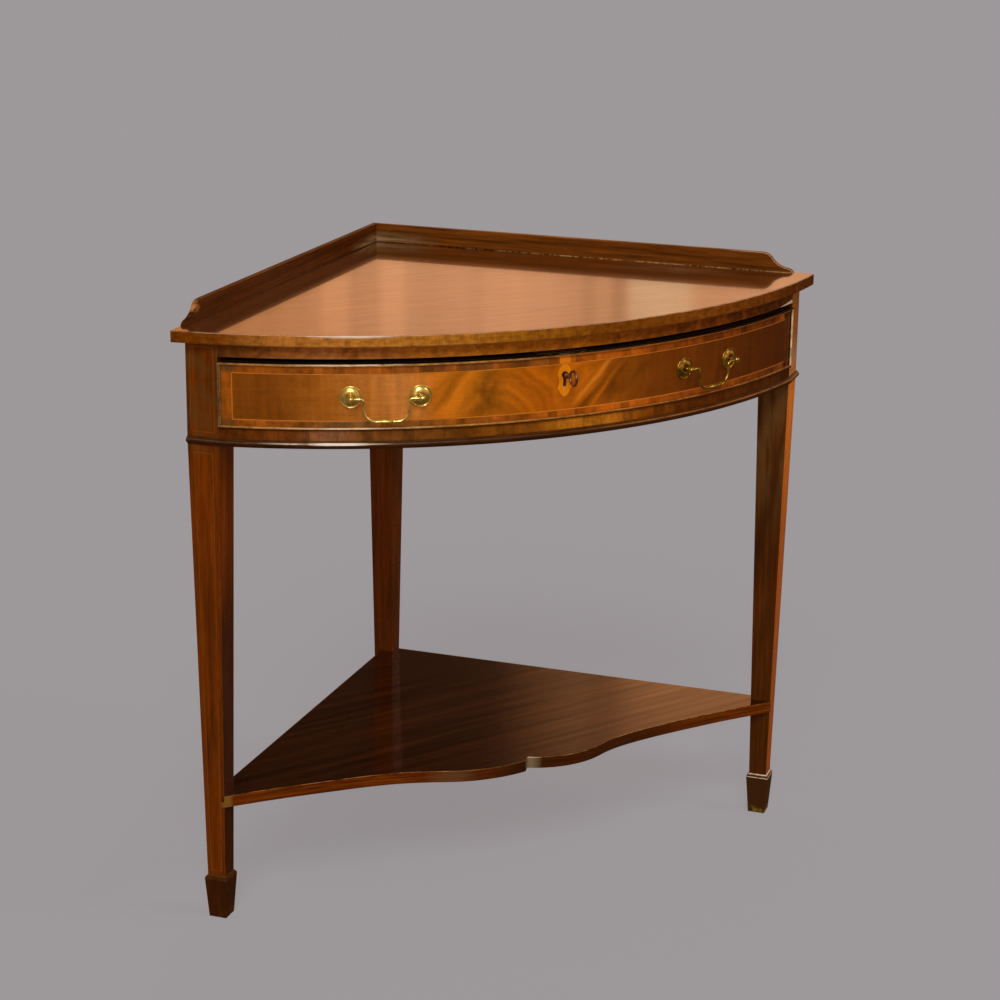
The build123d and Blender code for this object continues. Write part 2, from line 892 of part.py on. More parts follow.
# Slips under the drawer's bottom ride on the runners, near the drawer's back corners
slip_far = corner_y - back_rear_y - side_line * root_two - slip_corner_gap
slip_x = slip_far - slip_width / 2
slips = []
slip_low = rail_top + slip_gap
for side in (-1, 1):
    outer = slip_x + slip_width / 2
    front_y = bow_y(front_thickness, outer)
    x_low = side * slip_x - slip_width / 2
    slips.append(block(x_low, x_low + slip_width, front_y, back_rear_y, slip_low, panel_low))
save("drawer_slips", Compound(slips))


def cross_bar(side, x_near, x_far, depth, z_low, z_high):
    """Bar along Y from a front rail's back to a side rail's inner face."""
    reach = side_rail_setback + side_rail_thickness
    rear_near = corner_y - x_near - reach * root_two
    rear_far = corner_y - x_far - reach * root_two
    edges = [
        ThreePointArc(
            (side * x_near, bow_y(depth, x_near)),
            (side * (x_near + x_far) / 2, bow_y(depth, (x_near + x_far) / 2)),
            (side * x_far, bow_y(depth, x_far)),
        ),
        Line((side * x_far, bow_y(depth, x_far)), (side * x_far, rear_far)),
        Line((side * x_far, rear_far), (side * x_near, rear_near)),
        Line((side * x_near, rear_near), (side * x_near, bow_y(depth, x_near))),
    ]
    return upright(edges, z_low, z_high)


def runner(side):
    """Runner with a raised guide on its inner edge."""
    slip_near = slip_x - slip_width / 2
    guide_far = slip_near - guide_gap
    guide_near = guide_far - guide_width
    bar_far = slip_x + slip_width / 2 + runner_overlap
    bar = cross_bar(side, guide_near, bar_far, rail_depth, rail_top - runner_depth, rail_top)
    guide_top = panel_low - guide_top_gap
    return bar + cross_bar(side, guide_near, guide_far, rail_depth, rail_top, guide_top)


save("runner_left", runner(-1))
save("runner_right", runner(1))


def kicker(side):
    """Bar over the drawer that stops it tipping when it is out."""
    near = slip_x - kicker_width / 2
    far = slip_x + kicker_width / 2
    return cross_bar(side, near, far, rail_depth, side_top + kicker_gap, board_bottom)


save("kicker_left", kicker(-1))
save("kicker_right", kicker(1))

# Stops on the bottom rail, just behind the drawer front
stops = []
for side in (-1, 1):
    stop_x = stop_share * (slip_far - slip_width - guide_gap - guide_width)
    front_depth = front_thickness + stop_gap
    turn = asin(stop_x / (bow_radius - front_depth))
    place = Pos(0, bow_centre_y, rail_top) * Rot(0, 0, degrees(side * turn))
    height = panel_low - stop_top_gap - rail_top
    stop = Box(stop_width, stop_length, height, align=(mid, low, low))
    edge = (bow_radius - front_depth) ** 2 - (stop_width / 2) ** 2
    stops.append(place * Pos(0, -sqrt(edge), 0) * stop)
save("drawer_stops", Compound(stops))

# Glue blocks in the angle between the side rails and the board: one behind each
# kicker and two in front of it
blocks = []
rail_face = side_rail_setback + side_rail_thickness
kicker_near = rail_face + root_two * (slip_x - kicker_width / 2)
kicker_far = rail_face + root_two * (slip_x + kicker_width / 2) + glue_block_side
front_run = wall_length - leg_block - kicker_far
block_middles = [(leg_block + kicker_near) / 2]
for share in glue_block_shares:
    block_middles.append(kicker_far + share * front_run)
for side in (-1, 1):
    for middle in block_middles:
        start = middle - glue_block_length / 2
        x1, y1 = wall_point(side, start, rail_face)
        x2, y2 = wall_point(side, start, rail_face + glue_block_side)
        corner = (x1, y1, board_bottom)
        inner = (x2, y2, board_bottom)
        lower = (x1, y1, board_bottom - glue_block_side)
        face = make_face(Polyline(corner, inner, lower, close=True))
        blocks.append(extrude(face, amount=glue_block_length, dir=(side, -1, 0)))
save("glue_blocks", Compound(blocks))

# Lock: a box let into the back of the core, a selvedge in its top edge
lock_top = drawer_top - selvedge_thickness
lock_bottom = drawer_top - lock_height
half_box = lock_box_width / 2
half_plate = lock_plate_width / 2
lock_box = block(-half_box, half_box, lock_front, cavity_back, lock_bottom, lock_top)
back_plate = block(-half_plate, half_plate, cavity_back, lock_back, lock_bottom, lock_top)
half_selvedge = selvedge_width / 2
selvedge_front = lock_back - selvedge_depth
selvedge = block(-half_selvedge, half_selvedge, selvedge_front, lock_back, lock_top, drawer_top)
lock_space = block(-half_plate, half_plate, cavity_back, lock_back + joint_overrun,
                   lock_bottom, drawer_top)
selvedge_space = block(-half_selvedge, half_selvedge, selvedge_front,
                       lock_back + joint_overrun, lock_top, drawer_top + joint_overrun)
core = core - lock_box - lock_space - selvedge_space - face_hole - drawer_panel
lock_cavity = block(
    -half_box + lock_sheet,
    half_box - lock_sheet,
    cavity_front,
    cavity_back,
    lock_bottom + lock_sheet,
    lock_top,
)
lock_hole = keyhole(lock_front - joint_overrun, cavity_front + joint_overrun)
lock_pin = Pos(0, 0, key_height) * rod(lock_pin_radius, lock_front + lock_sheet, cavity_back)
lock_case = lock_box + back_plate - lock_cavity - lock_hole + lock_pin
bolt_slot = block(
    -bolt_head_width / 2 - bolt_side_gap,
    bolt_head_width / 2 + bolt_side_gap,
    bolt_low_y - bolt_side_gap,
    bolt_high_y + bolt_side_gap,
    lock_top - joint_overrun,
    drawer_top + joint_overrun,
)
lock_screws = []
for side in (-1, 1):
    for end in (-1, 1):
        x = side * (half_plate - lock_screw_edge)
        z = (lock_top + lock_bottom) / 2 + end * (lock_height / 2 - 2 * lock_screw_edge)
        shank = Pos(x, 0, z) * rod(lock_screw_radius, lock_back - lock_screw_length, lock_back)
        head = Pos(x, 0, z) * rod(lock_screw_head, lock_back, lock_back + lock_screw_head_height)
        lock_screws.append(shank + head)
        core = core - shank
        lock_case = lock_case - shank
save("drawer_front", core)
save("lock_case", lock_case)
save("lock_selvedge", selvedge - bolt_slot)
save("lock_screws", Compound(lock_screws))

# Bolt: a plate with a window that the key's bit turns in, and a head above it
window_half = key_bit_radius + key_window_gap
window_low = key_height - key_bit_radius - key_window_gap
window_high = key_height + key_bit_radius - bolt_travel + key_lift_slack
plate_half = window_half + bolt_rail
bolt_plate = block(-plate_half, plate_half, bolt_low_y, bolt_high_y,
                   window_low - bolt_rail, window_high + bolt_shoulder)
bolt_window = block(-window_half, window_half, bolt_low_y - joint_overrun,
                    bolt_high_y + joint_overrun, window_low, window_high)
bolt_head = block(-bolt_head_width / 2, bolt_head_width / 2, bolt_low_y, bolt_high_y,
                  window_high + bolt_shoulder, drawer_top)
save("lock_bolt", bolt_plate - bolt_window + bolt_head)

# Key: piped barrel on the lock's pin, a bit below and a ring bow in front
barrel_end = cavity_back - lock_running_gap
bow_y_key = bow_front - key_bow_reach
barrel_start = bow_y_key + key_bow_radius
barrel = rod(key_barrel_radius, barrel_start, barrel_end)
bore = rod(lock_pin_radius + lock_running_gap / 2, cavity_front - joint_overrun, barrel_end)
bit_low_y = bolt_middle - key_bit_width / 2
bit_high_y = bolt_middle + key_bit_width / 2
bit = block(-key_bit_thickness / 2, key_bit_thickness / 2, bit_low_y, bit_high_y,
            -key_bit_radius, 0)
collar_y = bow_front - key_collar_place
collar = rod(key_collar_radius, collar_y, collar_y + key_collar_length)
ring = Pos(0, bow_y_key, 0) * Rot(0, 90, 0) * Torus(key_bow_radius, key_bow_wire)
key = ring + barrel + collar + bit - bore
save("key", Pos(0, 0, key_height) * key)

# Handles: cast rosettes, posts with ball heads, swinging bails
ball_bore = bail_wire + bail_fit_gap
ball_x = (bow_radius + ball_reach) * sin(post_angle)
ball_y = bow_radius - (bow_radius + ball_reach) * cos(post_angle)


def rosette():
    """Domed backplate with a beaded rim, turned about the post's axis."""
    r = rosette_radius
    t = rosette_thickness
    rim = rosette_rim
    hole = post_radius + hole_gap
    bead = [share * r for share in rosette_bead_shares]
    groove = rosette_groove_share * r
    dome = rosette_dome_shares
    hollow = rosette_hollow_shares
    edges = [
        Line((hole, 0, 0), (r, 0, 0)),
        Line((r, 0, 0), (r, -rim, 0)),
        ThreePointArc((r, -rim, 0), (bead[0], -2 * rim, 0), (bead[1], -rim, 0)),
        Line((bead[1], -rim, 0), (groove, -rim, 0)),
        ThreePointArc(
            (groove, -rim, 0),
            (dome[0] * r, -rosette_rise_share * t, 0),
            (dome[1] * r, -t, 0),
        ),
        Line((dome[1] * r, -t, 0), (hollow[0] * r, -hollow[1] * t, 0)),
        Line((hollow[0] * r, -hollow[1] * t, 0), (hole, -hollow[1] * t, 0)),
        Line((hole, -hollow[1] * t, 0), (hole, 0, 0)),
    ]
    return revolve(make_face(edges), axis=Axis.Y)


def post(end):
    """Bolt through the drawer front with a ball head bored for the bail."""
    shank = rod(post_radius, -rosette_thickness, front_thickness + nut_height + nut_seat_gap)
    neck = rod(post_neck, -ball_reach, -rosette_thickness)
    head = Pos(0, -ball_reach, 0)
    ball = head * Rot(0, 0, -90) * Sphere(ball_radius)
    body = shank + neck + ball
    reach = ball_radius + bail_hole_depth
    along_bail = head * Rot(0, 0, -degrees(end * post_angle))
    bored = along_bail * Pos(end * bail_hole_depth, 0, 0) * Rot(0, -90 * end, 0)
    bored = bored * Cylinder(ball_bore, reach, align=(mid, mid, low))
    return body - bored


def nut():
    """Square nut on the post's inner end."""
    seat = front_thickness + nut_seat_gap
    body = Pos(0, seat, 0) * Box(nut_side, nut_height, nut_side, align=(mid, low, mid))
    return body - rod(post_radius, seat - joint_overrun, seat + nut_height + joint_overrun)


def bail():
    """Swinging handle hanging from the two ball heads."""
    end_x = ball_x + bail_hole_depth - bail_fit_gap * 2
    path = FilletPolyline(
        (-end_x, 0, 0),
        (-bail_half_width, 0, 0),
        (-bail_half_width, 0, -bail_drop),
        (bail_half_width, 0, -bail_drop),
        (bail_half_width, 0, 0),
        (end_x, 0, 0),
        radius=[bail_shoulder_bend, bail_corner_bend, bail_corner_bend, bail_shoulder_bend],
    )
    section = Plane(origin=path @ 0, z_dir=path % 0) * Circle(bail_wire)
    wire = sweep(section, path=path)
    grip_edges = [
        Line((-bail_grip_half, bail_wire, 0), (-bail_grip_half, 0, 0)),
        Line((-bail_grip_half, 0, 0), (bail_grip_half, 0, 0)),
        Line((bail_grip_half, 0, 0), (bail_grip_half, bail_wire, 0)),
        ThreePointArc(
            (bail_grip_half, bail_wire, 0),
            (0, bail_grip_radius, 0),
            (-bail_grip_half, bail_wire, 0),
        ),
    ]
    grip = revolve(make_face(grip_edges), axis=Axis.X)
    grip = Pos(0, 0, -bail_drop) * grip
    rings = []
    for side in (-1, 1):
        ring_place = Pos(side * bail_grip_half, 0, -bail_drop) * Rot(0, 90, 0)
        rings.append(ring_place * Cylinder(bail_ring_radius, 2 * bail_ring_half))
        collar_place = Pos(side * (bail_half_width + bail_collar_reach), 0, 0) * Rot(0, 90, 0)
        rings.append(collar_place * Cylinder(bail_collar_radius, 2 * bail_collar_half))
    body = wire + grip
    for ring in rings:
        body = body + ring
    return Pos(0, ball_y, 0) * body


names = {-1: "left", 1: "right"}
nuts = []
for side in (-1, 1):
    plates = []
    posts = []
    for end in (-1, 1):
        spot = post_place(side, end)
        plates.append(spot * rosette())
        posts.append(spot * post(end))
        nuts.append(spot * nut())
    save(names[side] + "_handle_rosettes", Compound(plates))
    save(names[side] + "_handle_posts", Compound(posts))
    save(names[side] + "_bail", handle_place(side) * bail())
save("handle_nuts", Compound(nuts))
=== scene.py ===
# %% [markdown]
# A bow-fronted corner table, dressed for a picture.
#
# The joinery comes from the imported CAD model: every leg, rail, bead and handle is
# already a solid at its real size, so this lesson adds no mesh to the table. What is
# left for Blender is what a polisher and a photographer would do: the wood, the inlay
# and the metal are built as node materials, and then come the floor, the light and
# the camera.

import math

import bpy
from mathutils import Matrix, Vector

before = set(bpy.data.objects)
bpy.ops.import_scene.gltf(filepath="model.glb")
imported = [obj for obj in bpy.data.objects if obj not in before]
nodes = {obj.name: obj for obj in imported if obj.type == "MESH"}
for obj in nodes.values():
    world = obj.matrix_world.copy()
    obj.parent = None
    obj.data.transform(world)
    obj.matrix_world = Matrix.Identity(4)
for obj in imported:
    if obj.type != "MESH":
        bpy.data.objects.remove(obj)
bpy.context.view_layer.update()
print("pieces from the joinery:", len(nodes))

# %% [markdown]
# The camera stands where the photographer stood: to the left of the table, at
# about chest height, looking down a little. A long lens keeps the verticals
# nearly parallel, as they are in the photograph. Blender's camera looks along its
# own -Z, so its three axes are worked out from the turn, the tilt and the small
# roll, and written straight into its matrix.

# %% Camera
CAMERA_PLACE = Vector((-1.3051, -2.8029, 1.3826))
TURN = math.radians(25.815)
TILT = math.radians(16.528)
ROLL = math.radians(0.666)
LENS = 87.453

ahead = Vector((math.sin(TURN) * math.cos(TILT), math.cos(TURN) * math.cos(TILT), -math.sin(TILT)))
level = Vector((math.cos(TURN), -math.sin(TURN), 0.0))
above = level.cross(ahead)
right = math.cos(ROLL) * level + math.sin(ROLL) * above
up = math.cos(ROLL) * above - math.sin(ROLL) * level

lens = bpy.data.cameras.new("camera")
lens.lens = LENS
lens.sensor_width = 36.0
camera = bpy.data.objects.new("camera", lens)
bpy.context.scene.collection.objects.link(camera)
camera.matrix_world = Matrix.Translation(CAMERA_PLACE) @ Matrix(
    ((right.x, up.x, -ahead.x, 0), (right.y, up.y, -ahead.y, 0), (right.z, up.z, -ahead.z, 0), (0, 0, 0, 1))
)
bpy.context.scene.camera = camera
print("camera at", tuple(round(v, 3) for v in CAMERA_PLACE))

# %% [markdown]
# Node trees are long to write by hand, so a few short helpers come first. `add`
# makes one node and fills its inputs: a socket is linked, anything else is set as
# the input's own value. `tone` turns a colour given as on a screen into the linear
# colour that Blender works in.

# %% Node helpers


def tone(red, green, blue):
    """A colour as given on a screen, 0 to 255, made linear."""
    linear = []
    for part in (red, green, blue):
        part = part / 255
        linear.append(part / 12.92 if part <= 0.04045 else ((part + 0.055) / 1.055) ** 2.4)
    return (*linear, 1.0)


def feed(tree, socket, value):
    """Link an input to another node's output, or set the input itself."""
    if isinstance(value, bpy.types.NodeSocket):
        tree.links.new(value, socket)
    else:
        socket.default_value = value


def add(tree, kind, settings=None, **inputs):
    """One node of a kind. Inputs are named as in Blender, with _ for a space."""
    node = tree.nodes.new("ShaderNode" + kind)
    for name, value in (settings or {}).items():
        setattr(node, name, value)
    for name, value in inputs.items():
        found = [s for s in node.inputs if s.enabled and s.name.replace(" ", "_") == name]
        feed(tree, found[0], value)
    return node


def calc(tree, operation, first, second=0.0, third=0.0):
    """One Math node on up to three numbers or sockets."""
    node = add(tree, "Math", {"operation": operation})
    for socket, value in zip(node.inputs, (first, second, third)):
        feed(tree, socket, value)
    return node.outputs[0]


def blend(tree, share, first, second):
    """Mix two colours by a share."""
    node = add(tree, "Mix", {"data_type": "RGBA"})
    for place, value in ((0, share), (6, first), (7, second)):
        feed(tree, node.inputs[place], value)
    return node.outputs[2]


def blend_numbers(tree, share, first, second):
    """Mix two numbers by a share."""
    node = add(tree, "Mix", {"data_type": "FLOAT"})
    for place, value in ((0, share), (2, first), (3, second)):
        feed(tree, node.inputs[place], value)
    return node.outputs[0]


def scaled(tree, colour, factor):
    """A colour times a number."""
    return add(tree, "VectorMath", {"operation": "SCALE"}, Vector=colour, Scale=factor).outputs["Vector"]


def spread(tree, value, low, high, start=0.0, end=1.0):
    """Stretch the part of a value between low and high over start to end."""
    node = add(tree, "MapRange", Value=value, From_Min=low, From_Max=high, To_Min=start, To_Max=end)
    return node.outputs[0]


def shades(tree, value, stops):
    """A colour ramp: stops are (place, colour) pairs."""
    node = add(tree, "ValToRGB", Fac=value)
    ramp = node.color_ramp
    while len(ramp.elements) < len(stops):
        ramp.elements.new(0.5)
    for element, (place, colour) in zip(ramp.elements, stops):
        element.position = place
        element.color = colour
    return node.outputs[0]


def clouds(tree, place, scale=1.0, detail=2.0, rough=0.5, warp=0.0):
    """Soft noise from 0 to 1."""
    node = add(tree, "TexNoise", Vector=place, Scale=scale, Detail=detail, Roughness=rough, Distortion=warp)
    return node.outputs[0]


def point(tree, x, y=0.0, z=0.0):
    """Three numbers joined into coordinates."""
    return add(tree, "CombineXYZ", X=x, Y=y, Z=z).outputs[0]


def axes(tree, place):
    """The three coordinates on their own."""
    parts = add(tree, "SeparateXYZ", Vector=place).outputs
    return parts["X"], parts["Y"], parts["Z"]


def along(tree, place, centre, turn, size):
    """Coordinates turned to a piece's grain, and divided by the grain's size."""
    node = add(tree, "Mapping", {"vector_type": "TEXTURE"}, Vector=place, Location=centre, Rotation=turn, Scale=size)
    return node.outputs[0]


print("a warm brown in linear colour:", tuple(round(part, 3) for part in tone(114, 58, 18)))

# %% [markdown]
# Wear, dust, highlights and shade are painted over the finished wood. Each is a
# mask, a number from 0 to 1 all over the piece, and a colour. A mask is made from
# the height or the place on the piece, from the way a face looks, or from soft noise
# where the wear is patchy, and where several masks meet they are multiplied.

# %% Masks and paint


def off_from(tree, value, centre):
    """How far a value lies from a centre, either way."""
    return calc(tree, "ABSOLUTE", calc(tree, "SUBTRACT", value, centre))


def overlap(tree, *masks):
    """Where all the masks meet."""
    meeting = masks[0]
    for mask in masks[1:]:
        meeting = calc(tree, "MULTIPLY", meeting, mask)
    return meeting


def band(tree, value, rise, fall):
    """A mask that comes in between two values and goes out between two more."""
    return overlap(tree, spread(tree, value, *rise), spread(tree, value, fall[1], fall[0]))


def patchy(tree, place, scale, low, high, start=0.0, end=1.0, detail=3.0, rough=0.6):
    """A mask of soft patches."""
    return spread(tree, clouds(tree, place, scale, detail, rough), low, high, start, end)


def likeness(tree, first, second):
    """1 where two directions are the same, 0 where they are square to each other."""
    node = add(tree, "VectorMath", {"operation": "DOT_PRODUCT"})
    feed(tree, node.inputs[0], first)
    feed(tree, node.inputs[1], second)
    return node.outputs["Value"]


def face_normal(tree):
    """The way each face looks."""
    return add(tree, "NewGeometry").outputs["Normal"]


def facing(tree, direction, low=0.6, high=0.9):
    """A mask of the faces that look in one direction."""
    return spread(tree, likeness(tree, face_normal(tree), Vector(direction).normalized()), low, high)


def base_colour(shader):
    """The socket that feeds the base colour."""
    return shader.inputs["Base Color"].links[0].from_socket


def repaint(tree, shader, mask, colour):
    """Change a finished base colour where a mask says so."""
    tree.links.new(blend(tree, mask, base_colour(shader), colour), shader.inputs["Base Color"])


def streaks(tree, shader, place, turn, size, low, high):
    """Darken and lighten a finished colour in long streaks."""
    value = clouds(tree, along(tree, place, (0.3, 0.1, 0), turn, size), 1.0, 4.0, 0.62)
    streaked = scaled(tree, base_colour(shader), spread(tree, value, 0.32, 0.68, low, high))
    tree.links.new(streaked, shader.inputs["Base Color"])


def start_material(name):
    """An empty material with its shader, and its Object coordinates."""
    material = bpy.data.materials.new(name)
    material.use_nodes = True
    tree = material.node_tree
    tree.nodes.clear()
    shader = add(tree, "BsdfPrincipled")
    output = add(tree, "OutputMaterial")
    tree.links.new(shader.outputs[0], output.inputs[0])
    place = add(tree, "TexCoord").outputs["Object"]
    return material, tree, shader, place


def dress(names, material):
    """Give CAD nodes a material through their own slots."""
    for name in names:
        for slot in nodes[name].material_slots:
            slot.material = material
    print(material.name, "on", ", ".join(names))


# %% [markdown]
# On the real table every arris has been rubbed by two centuries of dusting: the
# polish there is thin, and a fine light line runs along each edge. The Bevel node
# gives a normal that is rounded near edges only. Where it differs from the face's
# own normal there is an edge, so one node gives both the soft glint on the arris
# and the mask for the worn line. A real bevel in the mesh would catch the light
# too, but it would not know where the wear is.

# %% Worn arrises
ARRIS = 0.0012


def arris(tree, radius):
    """A rounded normal, and a mask that is 1 on the edge itself."""
    soft = add(tree, "Bevel", {"samples": 6}, Radius=radius).outputs[0]
    return soft, spread(tree, likeness(tree, soft, face_normal(tree)), 0.985, 0.80)


print("rounding of the wood's arrises in mm:", ARRIS * 1000)

# %% [markdown]
# Mahogany is built from four layers, from large to small: the figure, slow changes
# of tone across the plank; the fibres, long thin streaks; the pores, short dark
# flecks; and a polish on top, glossy with a faint unevenness. Each layer is the
# same soft noise, stretched along the grain by a different amount. One function
# makes the wood, and each piece gets its own grain direction and tones.

# %% Wood
VARNISH = (1.0, 0.56, 0.22, 1.0)
UPRIGHT = (0.0, math.radians(90), 0.0)
ACROSS = (0.0, 0.0, 0.0)
FRONT_TO_BACK = (0.0, 0.0, math.radians(90))
LEFT_WALL = (0.0, 0.0, math.radians(45))
RIGHT_WALL = (0.0, 0.0, math.radians(-45))


def fibres(tree, grain, length, width):
    """Streaks of one length and width, in metres, along the first grain axis."""
    size = add(tree, "VectorMath", {"operation": "DIVIDE"})
    feed(tree, size.inputs[0], grain)
    feed(tree, size.inputs[1], (length, width, width))
    return size.outputs[0]


def polish(shader, coat, coat_roughness, shine):
    """The varnish: a clear coat, and a warm tint in what the wood itself mirrors."""
    shader.inputs["Coat Weight"].default_value = coat
    shader.inputs["Coat Roughness"].default_value = coat_roughness
    shader.inputs["Specular IOR Level"].default_value = shine
    shader.inputs["Specular Tint"].default_value = VARNISH


def wood(name, centre, turn, tones, worn, gloss=0.30, coat=0.35, figure=(0.45, 0.06), contrast=1.0,
         pores=0.5, shine=0.5, relief=0.10, uneven=1.0):
    """Polished wood. Tones run dark, middle, light."""
    material, tree, shader, place = start_material(name)
    grain = along(tree, place, centre, turn, (1.0, 1.0, 1.0))
    broad = clouds(tree, fibres(tree, grain, *figure), 1.0, 3.0, 0.55, 0.6)
    streak = clouds(tree, fibres(tree, grain, 0.16, 0.0045), 1.0, 3.0, 0.6, 0.2)
    fine = clouds(tree, fibres(tree, grain, 0.05, 0.0011), 1.0, 2.0, 0.6)
    level = calc(tree, "MULTIPLY_ADD", streak, 0.45, calc(tree, "MULTIPLY", broad, 0.55))
    level = calc(tree, "MULTIPLY_ADD", calc(tree, "SUBTRACT", fine, 0.5), 0.22, level)
    level = spread(tree, level, 0.5 - 0.22 / contrast, 0.5 + 0.22 / contrast)
    colour = shades(tree, level, ((0.0, tones[0]), (0.5, tones[1]), (1.0, tones[2])))
    fleck = clouds(tree, fibres(tree, grain, 0.011, 0.00055), 1.0, 2.0, 0.5)
    fleck = spread(tree, fleck, 0.60, 0.70)
    colour = blend(tree, calc(tree, "MULTIPLY", fleck, pores), colour, tones[0])
    soft, edge = arris(tree, ARRIS)
    rub = patchy(tree, place, 60.0, 0.35, 0.62)
    colour = blend(tree, overlap(tree, edge, rub), colour, worn)
    feed(tree, shader.inputs["Base Color"], colour)
    roughness = patchy(tree, place, 14.0, 0.3, 0.7, gloss - 0.05 * uneven, gloss + 0.09 * uneven)
    feed(tree, shader.inputs["Roughness"], roughness)
    polish(shader, coat, 0.14, shine)
    grooves = calc(tree, "SUBTRACT", streak, fleck)
    bump = add(tree, "Bump", Strength=relief, Distance=0.0004, Height=grooves, Normal=soft)
    feed(tree, shader.inputs["Normal"], bump.outputs[0])
    return material, tree, shader, place


def tones_of(red, green, blue, depth=0.62, lift=1.32):
    """Dark, middle and light tones round one colour."""
    return tuple(tone(*(min(255, part * share) for part in (red, green, blue))) for share in (depth, 1.0, lift))


print("the varnish tints what the wood mirrors by", VARNISH[:3])

# %% [markdown]
# Each leg has its own plank, and its faces are painted apart. The right leg's outer
# face has painted light, a lit orange as from the warm sun on the right, and the
# left leg's inner face has painted shade, nearly black low down. Feet are darker
# than the legs above them: dirt and polish build up there, while the bottom corners
# are kicked bare, and thin painted highlights run along the bevels round each foot.
# All of that is paint over the same wood, put in place by height and by the way a
# face looks.

# %% Legs
WORN_LEG = tone(150, 84, 24)
TO_FRONT = (0, -1, 0)
TO_LEFT_FRONT = (-1, -1, 0)
TO_RIGHT_FRONT = (1, -1, 0)
FOOT_TOP = 0.0572
UPPER_LINE = ((0.0562, 0.0568), (0.0577, 0.0582))
LOWER_LINE = ((0.0526, 0.0531), (0.0537, 0.0542))
LEG_TOP = 0.76


def leg_wood(name, seed, middle, foot, bevel_highlight, scuff):
    """One leg's wood, with its dark foot, the painted highlight lines round it and its scuffed sole."""
    material, tree, shader, place = wood(
        "mahogany_" + name, (seed, 0.7, 0.2), UPRIGHT, tones_of(*middle), WORN_LEG,
        gloss=0.26, coat=0.0, figure=(0.20, 0.024), contrast=1.1, shine=0.3)
    height = axes(tree, place)[2]
    smear = patchy(tree, place, 45.0, 0.40, 0.60, end=0.6)
    smear = overlap(tree, spread(tree, height, 0.600, 0.618), facing(tree, TO_FRONT, 0.2, 0.4), smear)
    repaint(tree, shader, smear, tone(104, 74, 32))
    repaint(tree, shader, spread(tree, height, FOOT_TOP + 0.0018, FOOT_TOP, 0.0, 0.78), foot)
    # Painted highlights: thin light lines along the bevels round the foot.
    lines = calc(tree, "MAXIMUM", band(tree, height, *UPPER_LINE), band(tree, height, *LOWER_LINE))
    repaint(tree, shader, overlap(tree, lines, patchy(tree, place, 70.0, 0.34, 0.52)), bevel_highlight)
    scuffs = patchy(tree, place, 80.0, 0.46, 0.60, end=scuff, rough=0.7)
    repaint(tree, shader, overlap(tree, spread(tree, height, 0.012, 0.003), scuffs), tone(134, 104, 34))
    return material, tree, shader, place


left_leg, tree, shader, place = leg_wood("front_left_leg", 0.0, (114, 53, 3), tone(43, 23, 7), tone(96, 62, 26), 0.55)
height = axes(tree, place)[2]
# Painted shade: the left leg's inner face turns nearly black low down.
shaded_low_down = overlap(tree, spread(tree, height, 0.52, 0.38, 0.0, 0.75), spread(tree, height, 0.0565, 0.0575, 0.3, 1.0))
repaint(tree, shader, overlap(tree, facing(tree, TO_RIGHT_FRONT), shaded_low_down), tone(30, 13, 2))
dress(["front_left_leg"], left_leg)

right_leg, tree, shader, place = leg_wood(
    "front_right_leg", 0.3, (84, 43, 10), tone(66, 40, 18), tone(236, 218, 190), 1.0)
height = axes(tree, place)[2]
# Painted light: the right leg's outer face is coloured a lit orange, brightest high up, as the warm light from the
# right would make it.
warm_light_ramp = shades(tree, spread(tree, height, 0.0, LEG_TOP), (
    (0.2, tone(186, 100, 40)), (0.55, tone(206, 114, 40)), (0.8, tone(252, 148, 46)), (0.835, tone(208, 138, 76)),
    (0.862, tone(188, 148, 104)), (0.90, tone(168, 110, 60)), (0.95, tone(163, 101, 34))))
outer_face = overlap(tree, facing(tree, TO_RIGHT_FRONT), spread(tree, height, 0.055, 0.065, 0.0, 0.92))
repaint(tree, shader, outer_face, warm_light_ramp)
upper_part = overlap(tree, facing(tree, TO_LEFT_FRONT), band(tree, height, (0.40, 0.56), (0.634, 0.636)))
bloom = patchy(tree, along(tree, place, (0, 0, 0), ACROSS, (0.014, 0.014, 0.10)), 1.0, 0.40, 0.56, 0.1, 0.7)
repaint(tree, shader, overlap(tree, upper_part, bloom), tone(118, 88, 46))
dress(["front_right_leg"], right_leg)

rear_leg = leg_wood("rear_leg", 0.6, (98, 50, 14), tone(48, 26, 9), tone(80, 50, 22), 0.3)[0]
dress(["rear_leg"], rear_leg)

# %% [markdown]
# The galleries are dark, with darker and lighter streaks along their length. Where
# they meet in the corner their lower half has a painted grey sheen, a reflection
# painted into the colour. The seam at their foot is dark there, and along the right
# one dust has settled in it as a thin pale line. The right one's ogee end has a
# painted highlight along its arris, and the left one's tip is rubbed bare.

# %% Galleries and side rails
BOARD_TOP = 0.760

